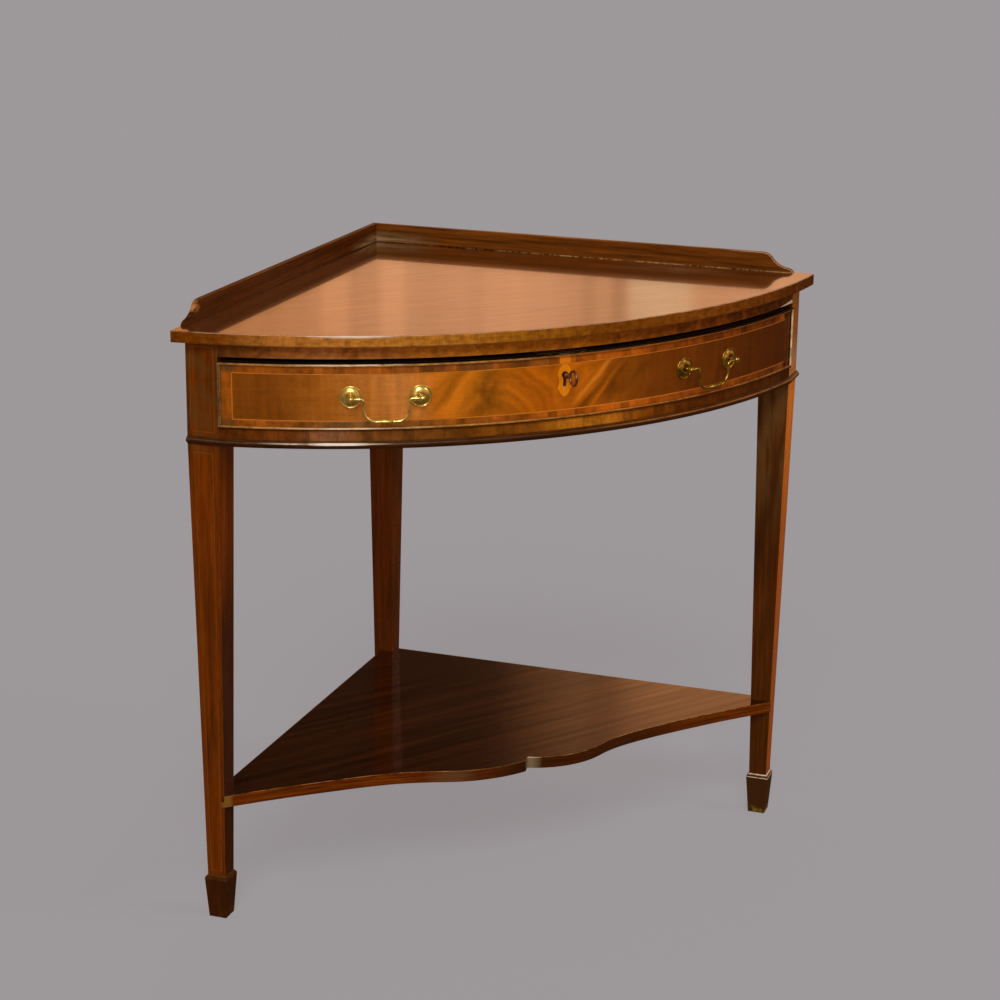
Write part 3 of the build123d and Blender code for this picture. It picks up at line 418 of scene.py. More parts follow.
for side, wall, middle in (("left", LEFT_WALL, (80, 39, 5)), ("right", RIGHT_WALL, (113, 64, 18))):
    material, tree, shader, place = wood(
        "mahogany_gallery_" + side, (0, 0.2, 0), wall, tones_of(*middle), tone(120, 72, 26),
        gloss=0.35, coat=0.0, figure=(0.4, 0.012), contrast=0.9, shine=0.06)
    streaks(tree, shader, place, wall, (0.10, 0.05, 0.004), 0.55, 1.5)
    across, back, height = axes(tree, place)
    inside = facing(tree, TO_RIGHT_FRONT if side == "left" else TO_LEFT_FRONT)
    # Painted reflection: a grey sheen on the lower half of the inner faces, near the corner.
    painted_sheen = patchy(tree, along(tree, place, (0, 0, 0), wall, (0.05, 0.05, 0.006)), 1.0, 0.36, 0.56, 0.2, 0.95)
    corner_reflection = overlap(tree, inside, spread(tree, back, 0.235, 0.300), spread(tree, height, 0.776, 0.764), painted_sheen)
    repaint(tree, shader, corner_reflection, tone(176, 152, 108))
    repaint(tree, shader, spread(tree, back, 0.3020, 0.3035, 0.0, 0.8), tone(30, 18, 8))
    seam = overlap(tree, inside, spread(tree, height, BOARD_TOP + 0.0018, BOARD_TOP + 0.0006))
    repaint(tree, shader, overlap(tree, seam, spread(tree, back, 0.02, 0.20, 0.25, 0.9)), tone(26, 15, 7))
    if side == "right":
        dust = overlap(tree, inside, spread(tree, height, BOARD_TOP + 0.0014, BOARD_TOP + 0.0004))
        specks = patchy(tree, place, 90.0, 0.42, 0.62, detail=4.0, rough=0.75)
        dust = overlap(tree, dust, specks, spread(tree, back, 0.26, 0.10, 0.15, 1.0))
        repaint(tree, shader, dust, tone(212, 168, 112))
        # Painted highlight along the arris of the right gallery's ogee end.
        ogee_highlight = overlap(tree, spread(tree, arris(tree, 0.0016)[1], 0.0, 0.55), spread(tree, across, 0.352, 0.372))
        repaint(tree, shader, ogee_highlight, tone(236, 214, 176))
    else:
        tip = overlap(tree, spread(tree, across, -0.392, -0.402), spread(tree, height, 0.7700, 0.7760))
        bare = patchy(tree, place, 120.0, 0.45, 0.6, detail=2.0)
        repaint(tree, shader, overlap(tree, tip, bare), tone(196, 140, 76))
    dress(["gallery_" + side], material)

rail_tones = tones_of(84, 44, 14)
dress(["side_rail_left"], wood("mahogany_rail_left", (0.1, 0.2, 0), LEFT_WALL, rail_tones, WORN_LEG)[0])
dress(["side_rail_right"], wood("mahogany_rail_right", (0.1, 0.6, 0), RIGHT_WALL, rail_tones, WORN_LEG)[0])

# %% [markdown]
# The top is French polished: a dark wood under a skin like glass. Most of what the
# eye sees on it at this low angle is the room, mirrored and slightly blurred, so the
# base colour is dark and the coat does the work. Fine level lines thin the coat,
# as the grain does on the real board. Towards the galleries a painted shade darkens
# the wood, and a patch beside the right one has a grey bloom.

# %% Top board
CORNER_BACK = 0.3122

material, tree, shader, place = wood(
    "mahogany_top", (0, 0, 0), ACROSS, tones_of(114, 58, 18, 0.78, 1.18), WORN_LEG,
    gloss=0.15, coat=1.0, figure=(0.6, 0.05), contrast=0.8, pores=0.35, relief=0.02, uneven=0.2)
shader.inputs["Coat Roughness"].default_value = 0.045
across, back, height = axes(tree, place)
from_walls = calc(tree, "SUBTRACT", calc(tree, "SUBTRACT", CORNER_BACK, back), calc(tree, "ABSOLUTE", across))
# Painted shade: the top darkens towards the galleries.
repaint(tree, shader, spread(tree, from_walls, 0.260, 0.140, 0.0, 0.6), tone(80, 40, 12))
lines = clouds(tree, along(tree, place, (0.2, 0.4, 0), ACROSS, (0.09, 0.0030, 0.05)), 1.0, 4.0, 0.65)
feed(tree, shader.inputs["Coat Weight"], spread(tree, lines, 0.34, 0.62, 1.0, 0.72))
streaks(tree, shader, place, ACROSS, (0.07, 0.0035, 0.05), 0.68, 1.24)
beside_gallery = along(tree, place, (0.30, -0.02, 0.76), RIGHT_WALL, (0.10, 0.035, 0.10))
bloom = patchy(tree, beside_gallery, 1.6, 0.35, 0.6, 0.0, 0.36)
oval = along(tree, place, (0.285, -0.035, 0.76), RIGHT_WALL, (0.10, 0.035, 1.0))
near_gallery = add(tree, "VectorMath", {"operation": "LENGTH"}, Vector=oval).outputs["Value"]
repaint(tree, shader, overlap(tree, spread(tree, near_gallery, 1.0, 0.2), bloom), tone(176, 140, 108))
dress(["top_board"], material)

# %% [markdown]
# The shelf is the darkest wood on the table, in long streaks that run a little
# askew, and its polish is streaky too. Its edge never got that polish and keeps the
# bare orange-brown of the wood, duller beside the step in the middle, with a
# painted sheen at one place on the left and painted shade just left of the step.
# The step's own small lip has painted highlights, the left end is rubbed pale, and
# a thin broken painted highlight runs along the upper arris.

# %% Shelf
SHELF_GRAIN = (0.0, 0.0, math.radians(9))
SHELF_STREAKS = (0.30, 0.011, 0.05)
STEP = 0.0045

material, tree, shader, place = wood(
    "mahogany_shelf", (0, 0, 0), SHELF_GRAIN, tones_of(50, 21, 6, 0.6, 1.5), WORN_LEG,
    gloss=0.14, coat=0.55, figure=(0.9, 0.012), contrast=0.8, relief=0.02, uneven=0.0)
shader.inputs["Coat Roughness"].default_value = 0.05
streaks(tree, shader, place, SHELF_GRAIN, SHELF_STREAKS, 0.35, 1.75)
streaks(tree, shader, place, (0.0, 0.0, math.radians(7)), (0.16, 0.003, 0.05), 0.75, 1.25)
coat = clouds(tree, along(tree, place, (0.3, 0.1, 0), SHELF_GRAIN, SHELF_STREAKS), 1.0, 4.0, 0.62)
feed(tree, shader.inputs["Coat Weight"], spread(tree, coat, 0.34, 0.66, 0.25, 0.85))

tilt = axes(tree, face_normal(tree))[2]
upright = spread(tree, calc(tree, "ABSOLUTE", tilt), 0.7, 0.4)
across, back, height = axes(tree, place)
grain = clouds(tree, along(tree, place, (0, 0, 0), ACROSS, (0.06, 0.06, 0.0022)), 1.0, 3.0, 0.6)
edge_tones = ((0.0, tone(66, 28, 3)), (0.5, tone(106, 47, 4)), (1.0, tone(132, 66, 10)))
edge_wood = shades(tree, spread(tree, grain, 0.3, 0.7), edge_tones)
edge_wood = blend(tree, spread(tree, off_from(tree, across, 0.09), 0.26, 0.08, 0.0, 0.75), edge_wood, tone(42, 22, 8))
repaint(tree, shader, upright, edge_wood)
# Painted sheen: a pale spot on the edge, left of the middle.
painted_sheen = overlap(tree, upright, spread(tree, off_from(tree, across, -0.105), 0.035, 0.01, 0.0, 0.6))
repaint(tree, shader, painted_sheen, tone(112, 78, 48))
# Painted highlight: a thin broken light along the upper arris.
light = patchy(tree, place, 30.0, 0.42, 0.60, detail=4.0, rough=0.7)
light = overlap(tree, upright, spread(tree, height, 0.1665, 0.1672), light)
repaint(tree, shader, light, tone(196, 140, 84))
left_end = overlap(tree, upright, spread(tree, across, -0.384, -0.389, 0.0, 0.8))
repaint(tree, shader, left_end, tone(136, 100, 42))
# Painted shade: the edge just left of the step is darker.
shaded_beside_step = band(tree, across, (-0.060, -0.006), (STEP - 0.0005, STEP))
repaint(tree, shader, overlap(tree, upright, shaded_beside_step, 0.8), tone(44, 21, 6))
# Painted highlights on the step's lip: its face turned to the left front, and its upper edge.
lip = band(tree, across, (STEP - 0.0005, STEP), (0.009, 0.022))
repaint(tree, shader, overlap(tree, lip, facing(tree, (-0.4, -1.0, 0.0), 0.7, 0.9)), tone(136, 122, 90))
repaint(tree, shader, overlap(tree, upright, lip, spread(tree, height, 0.1662, 0.1670)), tone(222, 206, 170))
dress(["shelf"], material)

# %% [markdown]
# The moulding is nearly black, with one thin broken painted highlight along its
# crest, where the window would catch it. The crest is found by the tilt of the
# surface. Near the left handle the painted highlight flares over the whole
# moulding, and to the right it turns from white to orange.

# %% Moulding
material, tree, shader, place = wood(
    "mahogany_moulding", (0, 0, 0.3), ACROSS, tones_of(66, 35, 12), tone(120, 76, 36),
    gloss=0.34, coat=0.02, figure=(0.4, 0.02), contrast=0.9, shine=0.14)
tilt = axes(tree, face_normal(tree))[2]
crest = band(tree, tilt, (0.30, 0.45), (0.74, 0.86))
across = axes(tree, place)[0]
near_window = spread(tree, off_from(tree, across, -0.285), 0.022, 0.075, 1.0, 0.05)
window = overlap(tree, near_window, spread(tree, across, -0.16, 0.0, 1.0, 0.25))
broken = patchy(tree, place, 38.0, 0.32, 0.54, detail=4.0, rough=0.7)
# Painted highlight along the crest: orange to the right, white near the window, and flaring over the moulding by the
# left handle.
orange_line = overlap(tree, crest, broken, spread(tree, across, 0.0, 0.10, 0.0, 0.5))
repaint(tree, shader, orange_line, tone(190, 120, 48))
repaint(tree, shader, overlap(tree, crest, window, broken), tone(255, 246, 228))
flare = spread(tree, off_from(tree, across, -0.272), 0.034, 0.016)
flare = overlap(tree, flare, band(tree, tilt, (0.0, 0.25), (0.9, 0.98)))
repaint(tree, shader, flare, tone(255, 250, 236))
dress(["moulding_front", "moulding_left_return", "moulding_right_return"], material)

# %% [markdown]
# The edge of the top and both rails are crossbanded: short pieces of veneer are
# laid side by side round the bow with their grain upright, so the light breaks up
# into blocks. The blocks have to follow the curve, so the pattern is drawn on the
# distance round the bow, which is an angle times a radius. Math nodes work it out
# from the Object coordinates.

# %% Crossbanding
BOW_RADIUS = 0.70192
BOW_CENTRE_Y = 0.42193
BOW_REACH = 0.45


def bow_distance(tree, place):
    """Distance round the bow from its middle, and the height."""
    across, back, height = axes(tree, place)
    turn = calc(tree, "ARCTAN2", across, calc(tree, "SUBTRACT", BOW_CENTRE_Y, back))
    return calc(tree, "MULTIPLY", turn, BOW_RADIUS), height


def bow_depth(tree, place):
    """Distance from the bow's centre, which grows towards the front."""
    across, back, height = axes(tree, place)
    out = calc(tree, "SUBTRACT", BOW_CENTRE_Y, back)
    return calc(tree, "SQRT", calc(tree, "MULTIPLY_ADD", across, across, calc(tree, "MULTIPLY", out, out)))


def bow_shades(tree, arc, stops):
    """Colours that change round the bow: stops are (distance, colour) pairs."""
    stops = [((at + BOW_REACH) / (2 * BOW_REACH), tone(*colour)) for at, colour in stops]
    return shades(tree, spread(tree, arc, -BOW_REACH, BOW_REACH), stops)


def crossband(name, stops, accent, worn, seed, block=0.014, strength=0.45, gloss=0.24, accents=0.6,
              coat=0.05, thready=0.5, grain=(110.0, 90.0), depth=0.68, lower_stops=None):
    """Veneer in upright blocks round the bow. Lower stops colour the strip below the middle."""
    material, tree, shader, place = start_material(name)
    arc, height = bow_distance(tree, place)
    slip = clouds(tree, point(tree, calc(tree, "MULTIPLY", arc, 30.0), seed + 3.0), 1.0, 1.0)
    slipped = calc(tree, "ADD", arc, calc(tree, "MULTIPLY", slip, 0.02))
    number = calc(tree, "FLOOR", calc(tree, "DIVIDE", slipped, block))
    number = calc(tree, "ADD", number, seed)
    piece = add(tree, "TexWhiteNoise", {"noise_dimensions": "1D"}, W=number).outputs["Value"]
    patches = clouds(tree, point(tree, calc(tree, "MULTIPLY", arc, 26.0), seed + 7.3), 1.0, 2.0, 0.6)
    threads = point(tree, calc(tree, "MULTIPLY", arc, 700.0), calc(tree, "MULTIPLY", height, 60.0), seed)
    threads = clouds(tree, threads, 1.0, 3.0, 0.65)
    mottle = point(tree, calc(tree, "MULTIPLY", arc, grain[0]), calc(tree, "MULTIPLY", height, grain[1]), seed)
    mottle = clouds(tree, mottle, 1.0, 3.0, 0.6)
    colour = bow_shades(tree, arc, stops)
    if lower_stops:
        colour = blend(tree, spread(tree, height, 0.686, 0.682), colour, bow_shades(tree, arc, lower_stops))
    colour = blend(tree, calc(tree, "MULTIPLY", spread(tree, patches, 0.56, 0.68), accents), colour, accent)
    rest = 1.0 - strength
    threads_part = calc(tree, "MULTIPLY", spread(tree, threads, 0.3, 0.7), rest * thready)
    level = calc(tree, "MULTIPLY_ADD", piece, strength, threads_part)
    level = calc(tree, "MULTIPLY_ADD", spread(tree, mottle, 0.3, 0.7), rest * (1.0 - thready), level)
    colour = scaled(tree, colour, spread(tree, level, 0.0, 1.0, 1.0 - depth, 1.0 + depth))
    soft, edge = arris(tree, 0.0011)
    rub = patchy(tree, place, 70.0, 0.3, 0.55)
    feed(tree, shader.inputs["Base Color"], blend(tree, overlap(tree, edge, rub), colour, worn))
    shader.inputs["Roughness"].default_value = gloss
    polish(shader, coat, 0.12, 0.3)
    bump = add(tree, "Bump", Strength=0.08, Distance=0.0003, Height=threads, Normal=soft)
    feed(tree, shader.inputs["Normal"], bump.outputs[0])
    return material, tree, shader, place


print("radius of the bow in metres:", BOW_RADIUS)

# %% [markdown]
# The board's edge is the brightest band, golden on the left where its tones are a
# painted sheen from the window, with a dark line underneath and a painted highlight
# along the arris that glares at one place.

# %% Crossbanded board edge
BOARD_BOTTOM = 0.7470

# The pale stops on the left half are a painted sheen from the window.
edge_stops = (
    (-0.42, (124, 66, 6)), (-0.34, (194, 128, 54)), (-0.20, (192, 128, 46)), (-0.08, (166, 106, 24)),
    (0.05, (124, 70, 10)), (0.20, (132, 74, 14)), (0.33, (112, 58, 8)), (0.40, (94, 46, 5)))
material, tree, shader, place = crossband(
    "crossband_board", edge_stops, tone(138, 74, 12), tone(206, 132, 66), 1.7, block=0.006, strength=0.15,
    thready=0.3, grain=(120.0, 200.0), depth=0.56)
arc, height = bow_distance(tree, place)
repaint(tree, shader, spread(tree, height, BOARD_BOTTOM + 0.0008, BOARD_BOTTOM, 0.0, 0.55), tone(84, 44, 8))
# Painted highlight along the upper arris, strongest near the window, and a painted glare at one place.
lit = spread(tree, height, BOARD_TOP - 0.0012, BOARD_TOP - 0.0005)
lit = overlap(tree, lit, patchy(tree, place, 50.0, 0.36, 0.56, 0.2, 1.0))
near_window = spread(tree, off_from(tree, arc, -0.275), 0.02, 0.10, 1.0, 0.35)
repaint(tree, shader, overlap(tree, lit, near_window), tone(252, 226, 190))
glare = overlap(tree, spread(tree, off_from(tree, arc, -0.260), 0.055, 0.012),
                spread(tree, height, BOARD_TOP - 0.0032, BOARD_TOP - 0.0012))
repaint(tree, shader, glare, tone(255, 242, 220))
dress(["top_edge_banding"], material)

# %% [markdown]
# The two rails have the same veneer in darker tones. A wedge of pale bare wood shows
# at the right end of the upper one, where a chip has come off above the drawer.

# %% Crossbanded rails
RAIL_BOTTOM = 0.7297

# The paler, greyer stops near the left end are a painted sheen from the window.
upper_stops = (
    (-0.42, (90, 48, 14)), (-0.34, (160, 98, 42)), (-0.27, (178, 114, 56)), (-0.20, (178, 110, 36)),
    (-0.10, (184, 114, 26)), (0.02, (170, 102, 18)), (0.14, (128, 70, 10)), (0.26, (98, 50, 8)), (0.42, (80, 40, 8)))
material, tree, shader, place = crossband(
    "crossband_top_rail", upper_stops, tone(150, 80, 16), tone(170, 110, 50), 5.1, block=0.022, strength=0.15,
    thready=0.3, grain=(90.0, 130.0))
arc, height = bow_distance(tree, place)
slope = calc(tree, "MULTIPLY_ADD", calc(tree, "SUBTRACT", arc, 0.383), 0.13, RAIL_BOTTOM)
under_slope = spread(tree, calc(tree, "SUBTRACT", height, slope), 0.0003, -0.0001)
repaint(tree, shader, overlap(tree, under_slope, spread(tree, arc, 0.384, 0.386)), tone(212, 200, 172))
dress(["top_rail_banding"], material)

# The pale grey stop near the left end is a painted sheen from the window.
lower_stops = (
    (-0.42, (104, 50, 8)), (-0.33, (124, 68, 22)), (-0.29, (150, 102, 68)), (-0.25, (128, 80, 34)),
    (-0.12, (116, 68, 16)), (-0.04, (140, 82, 16)), (0.04, (206, 132, 30)), (0.11, (130, 70, 10)),
    (0.20, (94, 47, 7)), (0.42, (70, 35, 7)))
bottom_rail = crossband(
    "crossband_bottom_rail", lower_stops, tone(150, 76, 14), tone(130, 76, 30), 9.4, block=0.016, strength=0.35,
    accents=0.12, thready=0.35)[0]
dress(["bottom_rail_banding"], bottom_rail)

# %% [markdown]
# Cockbeads are the thin beads that stand proud all round the drawer. They take
# every knock, so they are the palest lines on the front: cream at the ends, gold
# along the top and bottom, with a painted highlight by the left handle. The top
# bead's upper side has painted shade, black like the gap it faces, but for a
# painted glint over the lock, and the bottom bead's lower half has painted shade.

# %% Cockbeads
DRAWER_TOP = 0.7242
DRAWER_BOTTOM = 0.6440
GAP_SHADE = tone(16, 9, 5)

# The pale stops by the left handle belong to the painted highlight.
bead_stops = (
    (-0.42, (140, 100, 46)), (-0.36, (186, 142, 78)), (-0.26, (214, 176, 112)), (-0.16, (184, 136, 62)),
    (0.0, (150, 96, 28)), (0.42, (128, 72, 16)))
for side in ("top", "bottom"):
    material, tree, shader, place = crossband(
        "bead_" + side, bead_stops, tone(120, 72, 24), tone(232, 196, 126), 3.3, block=0.03, strength=0.2,
        gloss=0.2, thready=0.2)
    arc, height = bow_distance(tree, place)
    if side == "top":
        # Painted shade: the top bead's upper side is black, as in the shade of the gap.
        gap_shade_line = spread(tree, arc, -0.10, 0.30, DRAWER_TOP - 0.0007, DRAWER_TOP - 0.0019)
        shaded_in_gap = spread(tree, calc(tree, "SUBTRACT", height, gap_shade_line), -0.0002, 0.0002)
        repaint(tree, shader, shaded_in_gap, GAP_SHADE)
        # Painted highlight: a thin glint over the lock.
        from_middle = off_from(tree, bow_depth(tree, place), BOW_RADIUS + 0.0011)
        glint = overlap(
            tree, spread(tree, calc(tree, "ABSOLUTE", arc), 0.038, 0.034), spread(tree, from_middle, 0.0005, 0.0003),
            spread(tree, height, DRAWER_TOP - 0.0004, DRAWER_TOP - 0.0002), patchy(tree, place, 60.0, 0.40, 0.52))
        repaint(tree, shader, glint, tone(255, 226, 180))
        highlight_reach, bead_middle = (0.075, 0.03), DRAWER_TOP - 0.0011
    else:
        # Painted shade: the lower half of the bottom bead.
        underside = spread(tree, height, DRAWER_BOTTOM + 0.0015, DRAWER_BOTTOM + 0.0009)
        repaint(tree, shader, underside, tone(70, 38, 10))
        highlight_reach, bead_middle = (0.095, 0.02), DRAWER_BOTTOM + 0.0021
    # Painted highlight along each bead by the left handle.
    bright = overlap(
        tree, spread(tree, off_from(tree, arc, -0.262), *highlight_reach),
        spread(tree, off_from(tree, height, bead_middle), 0.0009, 0.0004), patchy(tree, place, 55.0, 0.30, 0.52))
    repaint(tree, shader, bright, tone(255, 240, 212))
    dress(["cockbead_" + side], material)

end_stops = ((-0.42, (120, 92, 50)), (-0.36, (120, 92, 50)), (0.36, (236, 206, 150)), (0.42, (236, 206, 150)))
material, tree, shader, place = crossband(
    "bead_ends", end_stops, tone(150, 110, 60), tone(230, 208, 160), 4.4, block=0.03, strength=0.1, gloss=0.25,
    accents=0.2, thready=0.2)
across = axes(tree, place)[0]
inner_side = overlap(tree, spread(tree, across, 0.30, 0.31), facing(tree, TO_LEFT_FRONT, 0.9, 0.97))
deep = spread(tree, bow_depth(tree, place), BOW_RADIUS + 0.0017, BOW_RADIUS + 0.0012)
repaint(tree, shader, overlap(tree, inner_side, deep), tone(44, 24, 9))
patina = overlap(tree, spread(tree, across, -0.3, -0.35), patchy(tree, place, 70.0, 0.42, 0.60, end=0.8))
repaint(tree, shader, patina, tone(84, 58, 26))
dress(["cockbead_ends"], material)

# %% [markdown]
# The drawer's own crossbanding is brighter than the rails' and changes along the
# front. The upper strip goes brown between the left handle and the keyhole, the
# lower one earlier, and both flare orange to the right of it. One bright piece sits
# right over the shield.

# %% Drawer crossbanding
upper_strip = (
    (-0.42, (172, 92, 16)), (-0.33, (178, 100, 26)), (-0.24, (170, 96, 30)), (-0.13, (128, 80, 34)),
    (-0.02, (140, 80, 24)), (0.03, (190, 98, 16)), (0.16, (150, 74, 13)), (0.26, (118, 57, 10)),
    (0.36, (104, 50, 10)), (0.385, (84, 40, 8)), (0.42, (76, 36, 8)))
# The grey stop near the left handle is a painted sheen from the window.
lower_strip = (
    (-0.42, (170, 92, 18)), (-0.34, (176, 100, 30)), (-0.27, (126, 92, 52)), (-0.18, (150, 92, 34)),
    (-0.05, (160, 88, 20)), (0.06, (192, 98, 14)), (0.20, (160, 80, 15)), (0.30, (128, 63, 12)),
    (0.36, (104, 52, 12)), (0.385, (84, 40, 8)), (0.42, (76, 36, 8)))
material, tree, shader, place = crossband(
    "crossband_drawer", upper_strip, tone(196, 104, 24), tone(190, 120, 60), 12.2, block=0.013, strength=0.40,
    thready=0.3, lower_stops=lower_strip)
arc, height = bow_distance(tree, place)
drawer_middle = (DRAWER_TOP + DRAWER_BOTTOM) / 2
left_corners = overlap(
    tree, spread(tree, arc, -0.3975, -0.4035, 0.0, 0.75),
    spread(tree, off_from(tree, height, drawer_middle), 0.026, 0.031))
repaint(tree, shader, left_corners, tone(98, 72, 38))
over_shield = overlap(
    tree, spread(tree, calc(tree, "ABSOLUTE", arc), 0.0076, 0.0068, 0.0, 0.9), spread(tree, height, 0.700, 0.702))
repaint(tree, shader, over_shield, tone(240, 142, 22))
# Painted shade: faces that look up, in the drawer's gap, are black.
repaint(tree, shader, facing(tree, (0, 0, 1), 0.7, 0.9), tone(20, 12, 6))
dress(["drawer_crossbanding"], material)

# %% [markdown]
# The middle of the drawer front is one sheet of flame-figured veneer. To the left
# it is plain and olive brown, round the keyhole it flares orange with dark swirls,
# and to the right it goes dark. Three layers make it: a ramp of tones along the
# bow, warped streaks that only show in the flame, and fine level grain over all.
# Left of the keyhole the flame curls in rings, and right of it one bright slanting
# stripe runs beside a dark one.

# %% Field veneer
FIELD_MIDDLE = 0.684

# The palest stop, near the left handle, is a painted sheen from the window.
field_stops = (
    (-0.41, (142, 78, 10)), (-0.35, (140, 78, 14)), (-0.29, (184, 110, 30)), (-0.20, (224, 146, 67)),
    (-0.16, (210, 122, 20)), (-0.10, (190, 112, 14)), (-0.05, (188, 101, 5)), (0.045, (192, 104, 6)),
    (0.085, (132, 72, 6)), (0.13, (128, 66, 6)), (0.30, (96, 47, 4)), (0.41, (84, 40, 3)))


def plain_figure(tree, sheet, arc, rise):
    """Upright columns and level grain, for the plain ends of the sheet."""
    columns = point(tree, calc(tree, "MULTIPLY", arc, 95.0), calc(tree, "MULTIPLY", rise, 9.0))
    columns = clouds(tree, columns, 1.0, 2.0, 0.5)
    straight = clouds(tree, along(tree, sheet, (0.7, 0, 0), ACROSS, (0.16, 0.006, 1)), 1.0, 3.0, 0.6)
    columns = calc(tree, "MULTIPLY", spread(tree, columns, 0.3, 0.7, 0.15, 0.85), 0.65)
    return calc(tree, "MULTIPLY_ADD", spread(tree, straight, 0.3, 0.7, 0.2, 0.8), 0.35, columns)


def flame_figure(tree, sheet, arc, rise, waver):
    """Slanting flames, with curled crescents just left of the keyhole."""
    flame = along(tree, sheet, (0.3, 0, 0), (0, 0, math.radians(44)), (0.07, 0.019, 1))
    flame = clouds(tree, flame, 1.0, 1.5, 0.45, 0.7)
    ring_x = calc(tree, "ADD", arc, 0.105)
    ring_z = calc(tree, "ADD", rise, 0.060)
    ring = calc(tree, "SQRT", calc(tree, "MULTIPLY_ADD", ring_x, ring_x, calc(tree, "MULTIPLY", ring_z, ring_z)))
    rings = calc(tree, "MULTIPLY_ADD", waver, 1.8, calc(tree, "MULTIPLY", ring, 52.0))
    crescents = clouds(tree, point(tree, rings), 1.0, 1.5, 0.5)
    curled = band(tree, arc, (-0.115, -0.085), (-0.02, 0.0))
    return blend_numbers(tree, curled, spread(tree, flame, 0.32, 0.62), spread(tree, crescents, 0.32, 0.62))


def field_veneer():
    """Flame-figured veneer that changes along the bow."""
    material, tree, shader, place = start_material("flame_veneer")
    arc, height = bow_distance(tree, place)
    rise = calc(tree, "SUBTRACT", height, FIELD_MIDDLE)
    sheet = point(tree, arc, rise)
    waver = calc(tree, "SUBTRACT", clouds(tree, sheet, 22.0, 2.0, 0.5), 0.5)
    colour = bow_shades(tree, calc(tree, "MULTIPLY_ADD", waver, 0.06, arc), field_stops)
    flared = band(tree, arc, (-0.20, -0.14), (0.07, 0.14))
    figure = blend_numbers(
        tree, flared, plain_figure(tree, sheet, arc, rise), flame_figure(tree, sheet, arc, rise, waver))
    mottle = patchy(tree, sheet, 170.0, 0.3, 0.7, detail=4.0, rough=0.65)
    level = calc(tree, "MULTIPLY_ADD", mottle, 0.22, calc(tree, "MULTIPLY", figure, 0.78))
    colour = scaled(tree, colour, spread(tree, level, 0.0, 1.0, 0.56, 1.38))
    slant = calc(tree, "MULTIPLY_ADD", waver, 0.012, calc(tree, "SUBTRACT", arc, rise))
    beside = band(tree, arc, (0.008, 0.020), (0.055, 0.075))
    bright = overlap(tree, beside, spread(tree, off_from(tree, slant, 0.036), 0.007, 0.001, 0.0, 0.8))
    colour = blend(tree, bright, colour, tone(232, 142, 34))
    shadow = overlap(tree, beside, spread(tree, off_from(tree, slant, 0.054), 0.009, 0.001, 0.0, 0.75))
    colour = blend(tree, shadow, colour, tone(120, 64, 6))
    spot_x = calc(tree, "MULTIPLY_ADD", waver, 0.02, calc(tree, "ADD", arc, 0.098))
    spot_z = calc(tree, "MULTIPLY", calc(tree, "MULTIPLY", rise, rise), 0.25)
    spot = calc(tree, "SQRT", calc(tree, "MULTIPLY_ADD", spot_x, spot_x, spot_z))
    spot = overlap(tree, spread(tree, spot, 0.022, 0.004), patchy(tree, sheet, 70.0, 0.34, 0.60, 0.25, 0.75))
    colour = blend(tree, spot, colour, tone(98, 58, 8))
    thread = clouds(tree, along(tree, sheet, (0.2, 0, 0), ACROSS, (0.045, 0.0016, 1)), 1.0, 3.0, 0.6)
    colour = blend(tree, spread(tree, thread, 0.50, 0.74, 0.0, 0.2), colour, tone(58, 28, 8))
    feed(tree, shader.inputs["Base Color"], colour)
    shader.inputs["Roughness"].default_value = 0.30
    polish(shader, 0.15, 0.16, 0.3)
    bump = add(tree, "Bump", Strength=0.05, Distance=0.0003, Height=thread)
    feed(tree, shader.inputs["Normal"], bump.outputs[0])
    return material


dress(["drawer_field_veneer"], field_veneer())

# %% [markdown]
# Boxwood is pale and nearly without grain, so the shield and the strings use the
# same wood with close tones. The strings are thin and stained: the drawer's darkens
# towards the right, and the legs' hardly stands out.

# %% Boxwood
shield_tones = (tone(222, 128, 10), tone(246, 150, 14), tone(255, 176, 36))
dress(["drawer_shield_inlay"], wood("boxwood_shield", (0, 0, 0), UPRIGHT, shield_tones, shield_tones[2], 0.3, 0.3)[0])
string_tones = (tone(164, 88, 12), tone(212, 124, 24), tone(232, 150, 46))
material, tree, shader, place = wood("boxwood_string", (0, 0, 0), ACROSS, string_tones, string_tones[2], 0.3, 0.0)
across = axes(tree, place)[0]
repaint(tree, shader, spread(tree, across, 0.05, 0.30, 0.0, 0.55), tone(124, 60, 12))
repaint(tree, shader, spread(tree, across, 0.374, 0.380, 0.0, 0.75), tone(96, 46, 10))
dress(["drawer_stringing"], material)
faint_tones = (tone(114, 56, 8), tone(134, 68, 12), tone(154, 84, 22))
dress(["leg_stringing"], wood("boxwood_leg_string", (0, 0, 0), UPRIGHT, faint_tones, faint_tones[2], 0.3, 0.2)[0])

# %% [markdown]
# Nobody polishes the inside of a drawer. Its sides, back and bottom are thin oak and
# the hidden frame is pine, both dull. The front's pine core shows only as its top
# edge, which is painted black as shade in the drawer's gap.

# %% Linings and carcass
oak = (tone(120, 84, 50), tone(152, 112, 70), tone(178, 140, 94))
pine = (tone(112, 74, 40), tone(142, 98, 56), tone(168, 122, 76))


def raw(name, seed, turn, tones, gloss):
    """Unpolished wood."""
    return wood(name, (0, seed, 0), turn, tones, tones[2], gloss, 0.0)


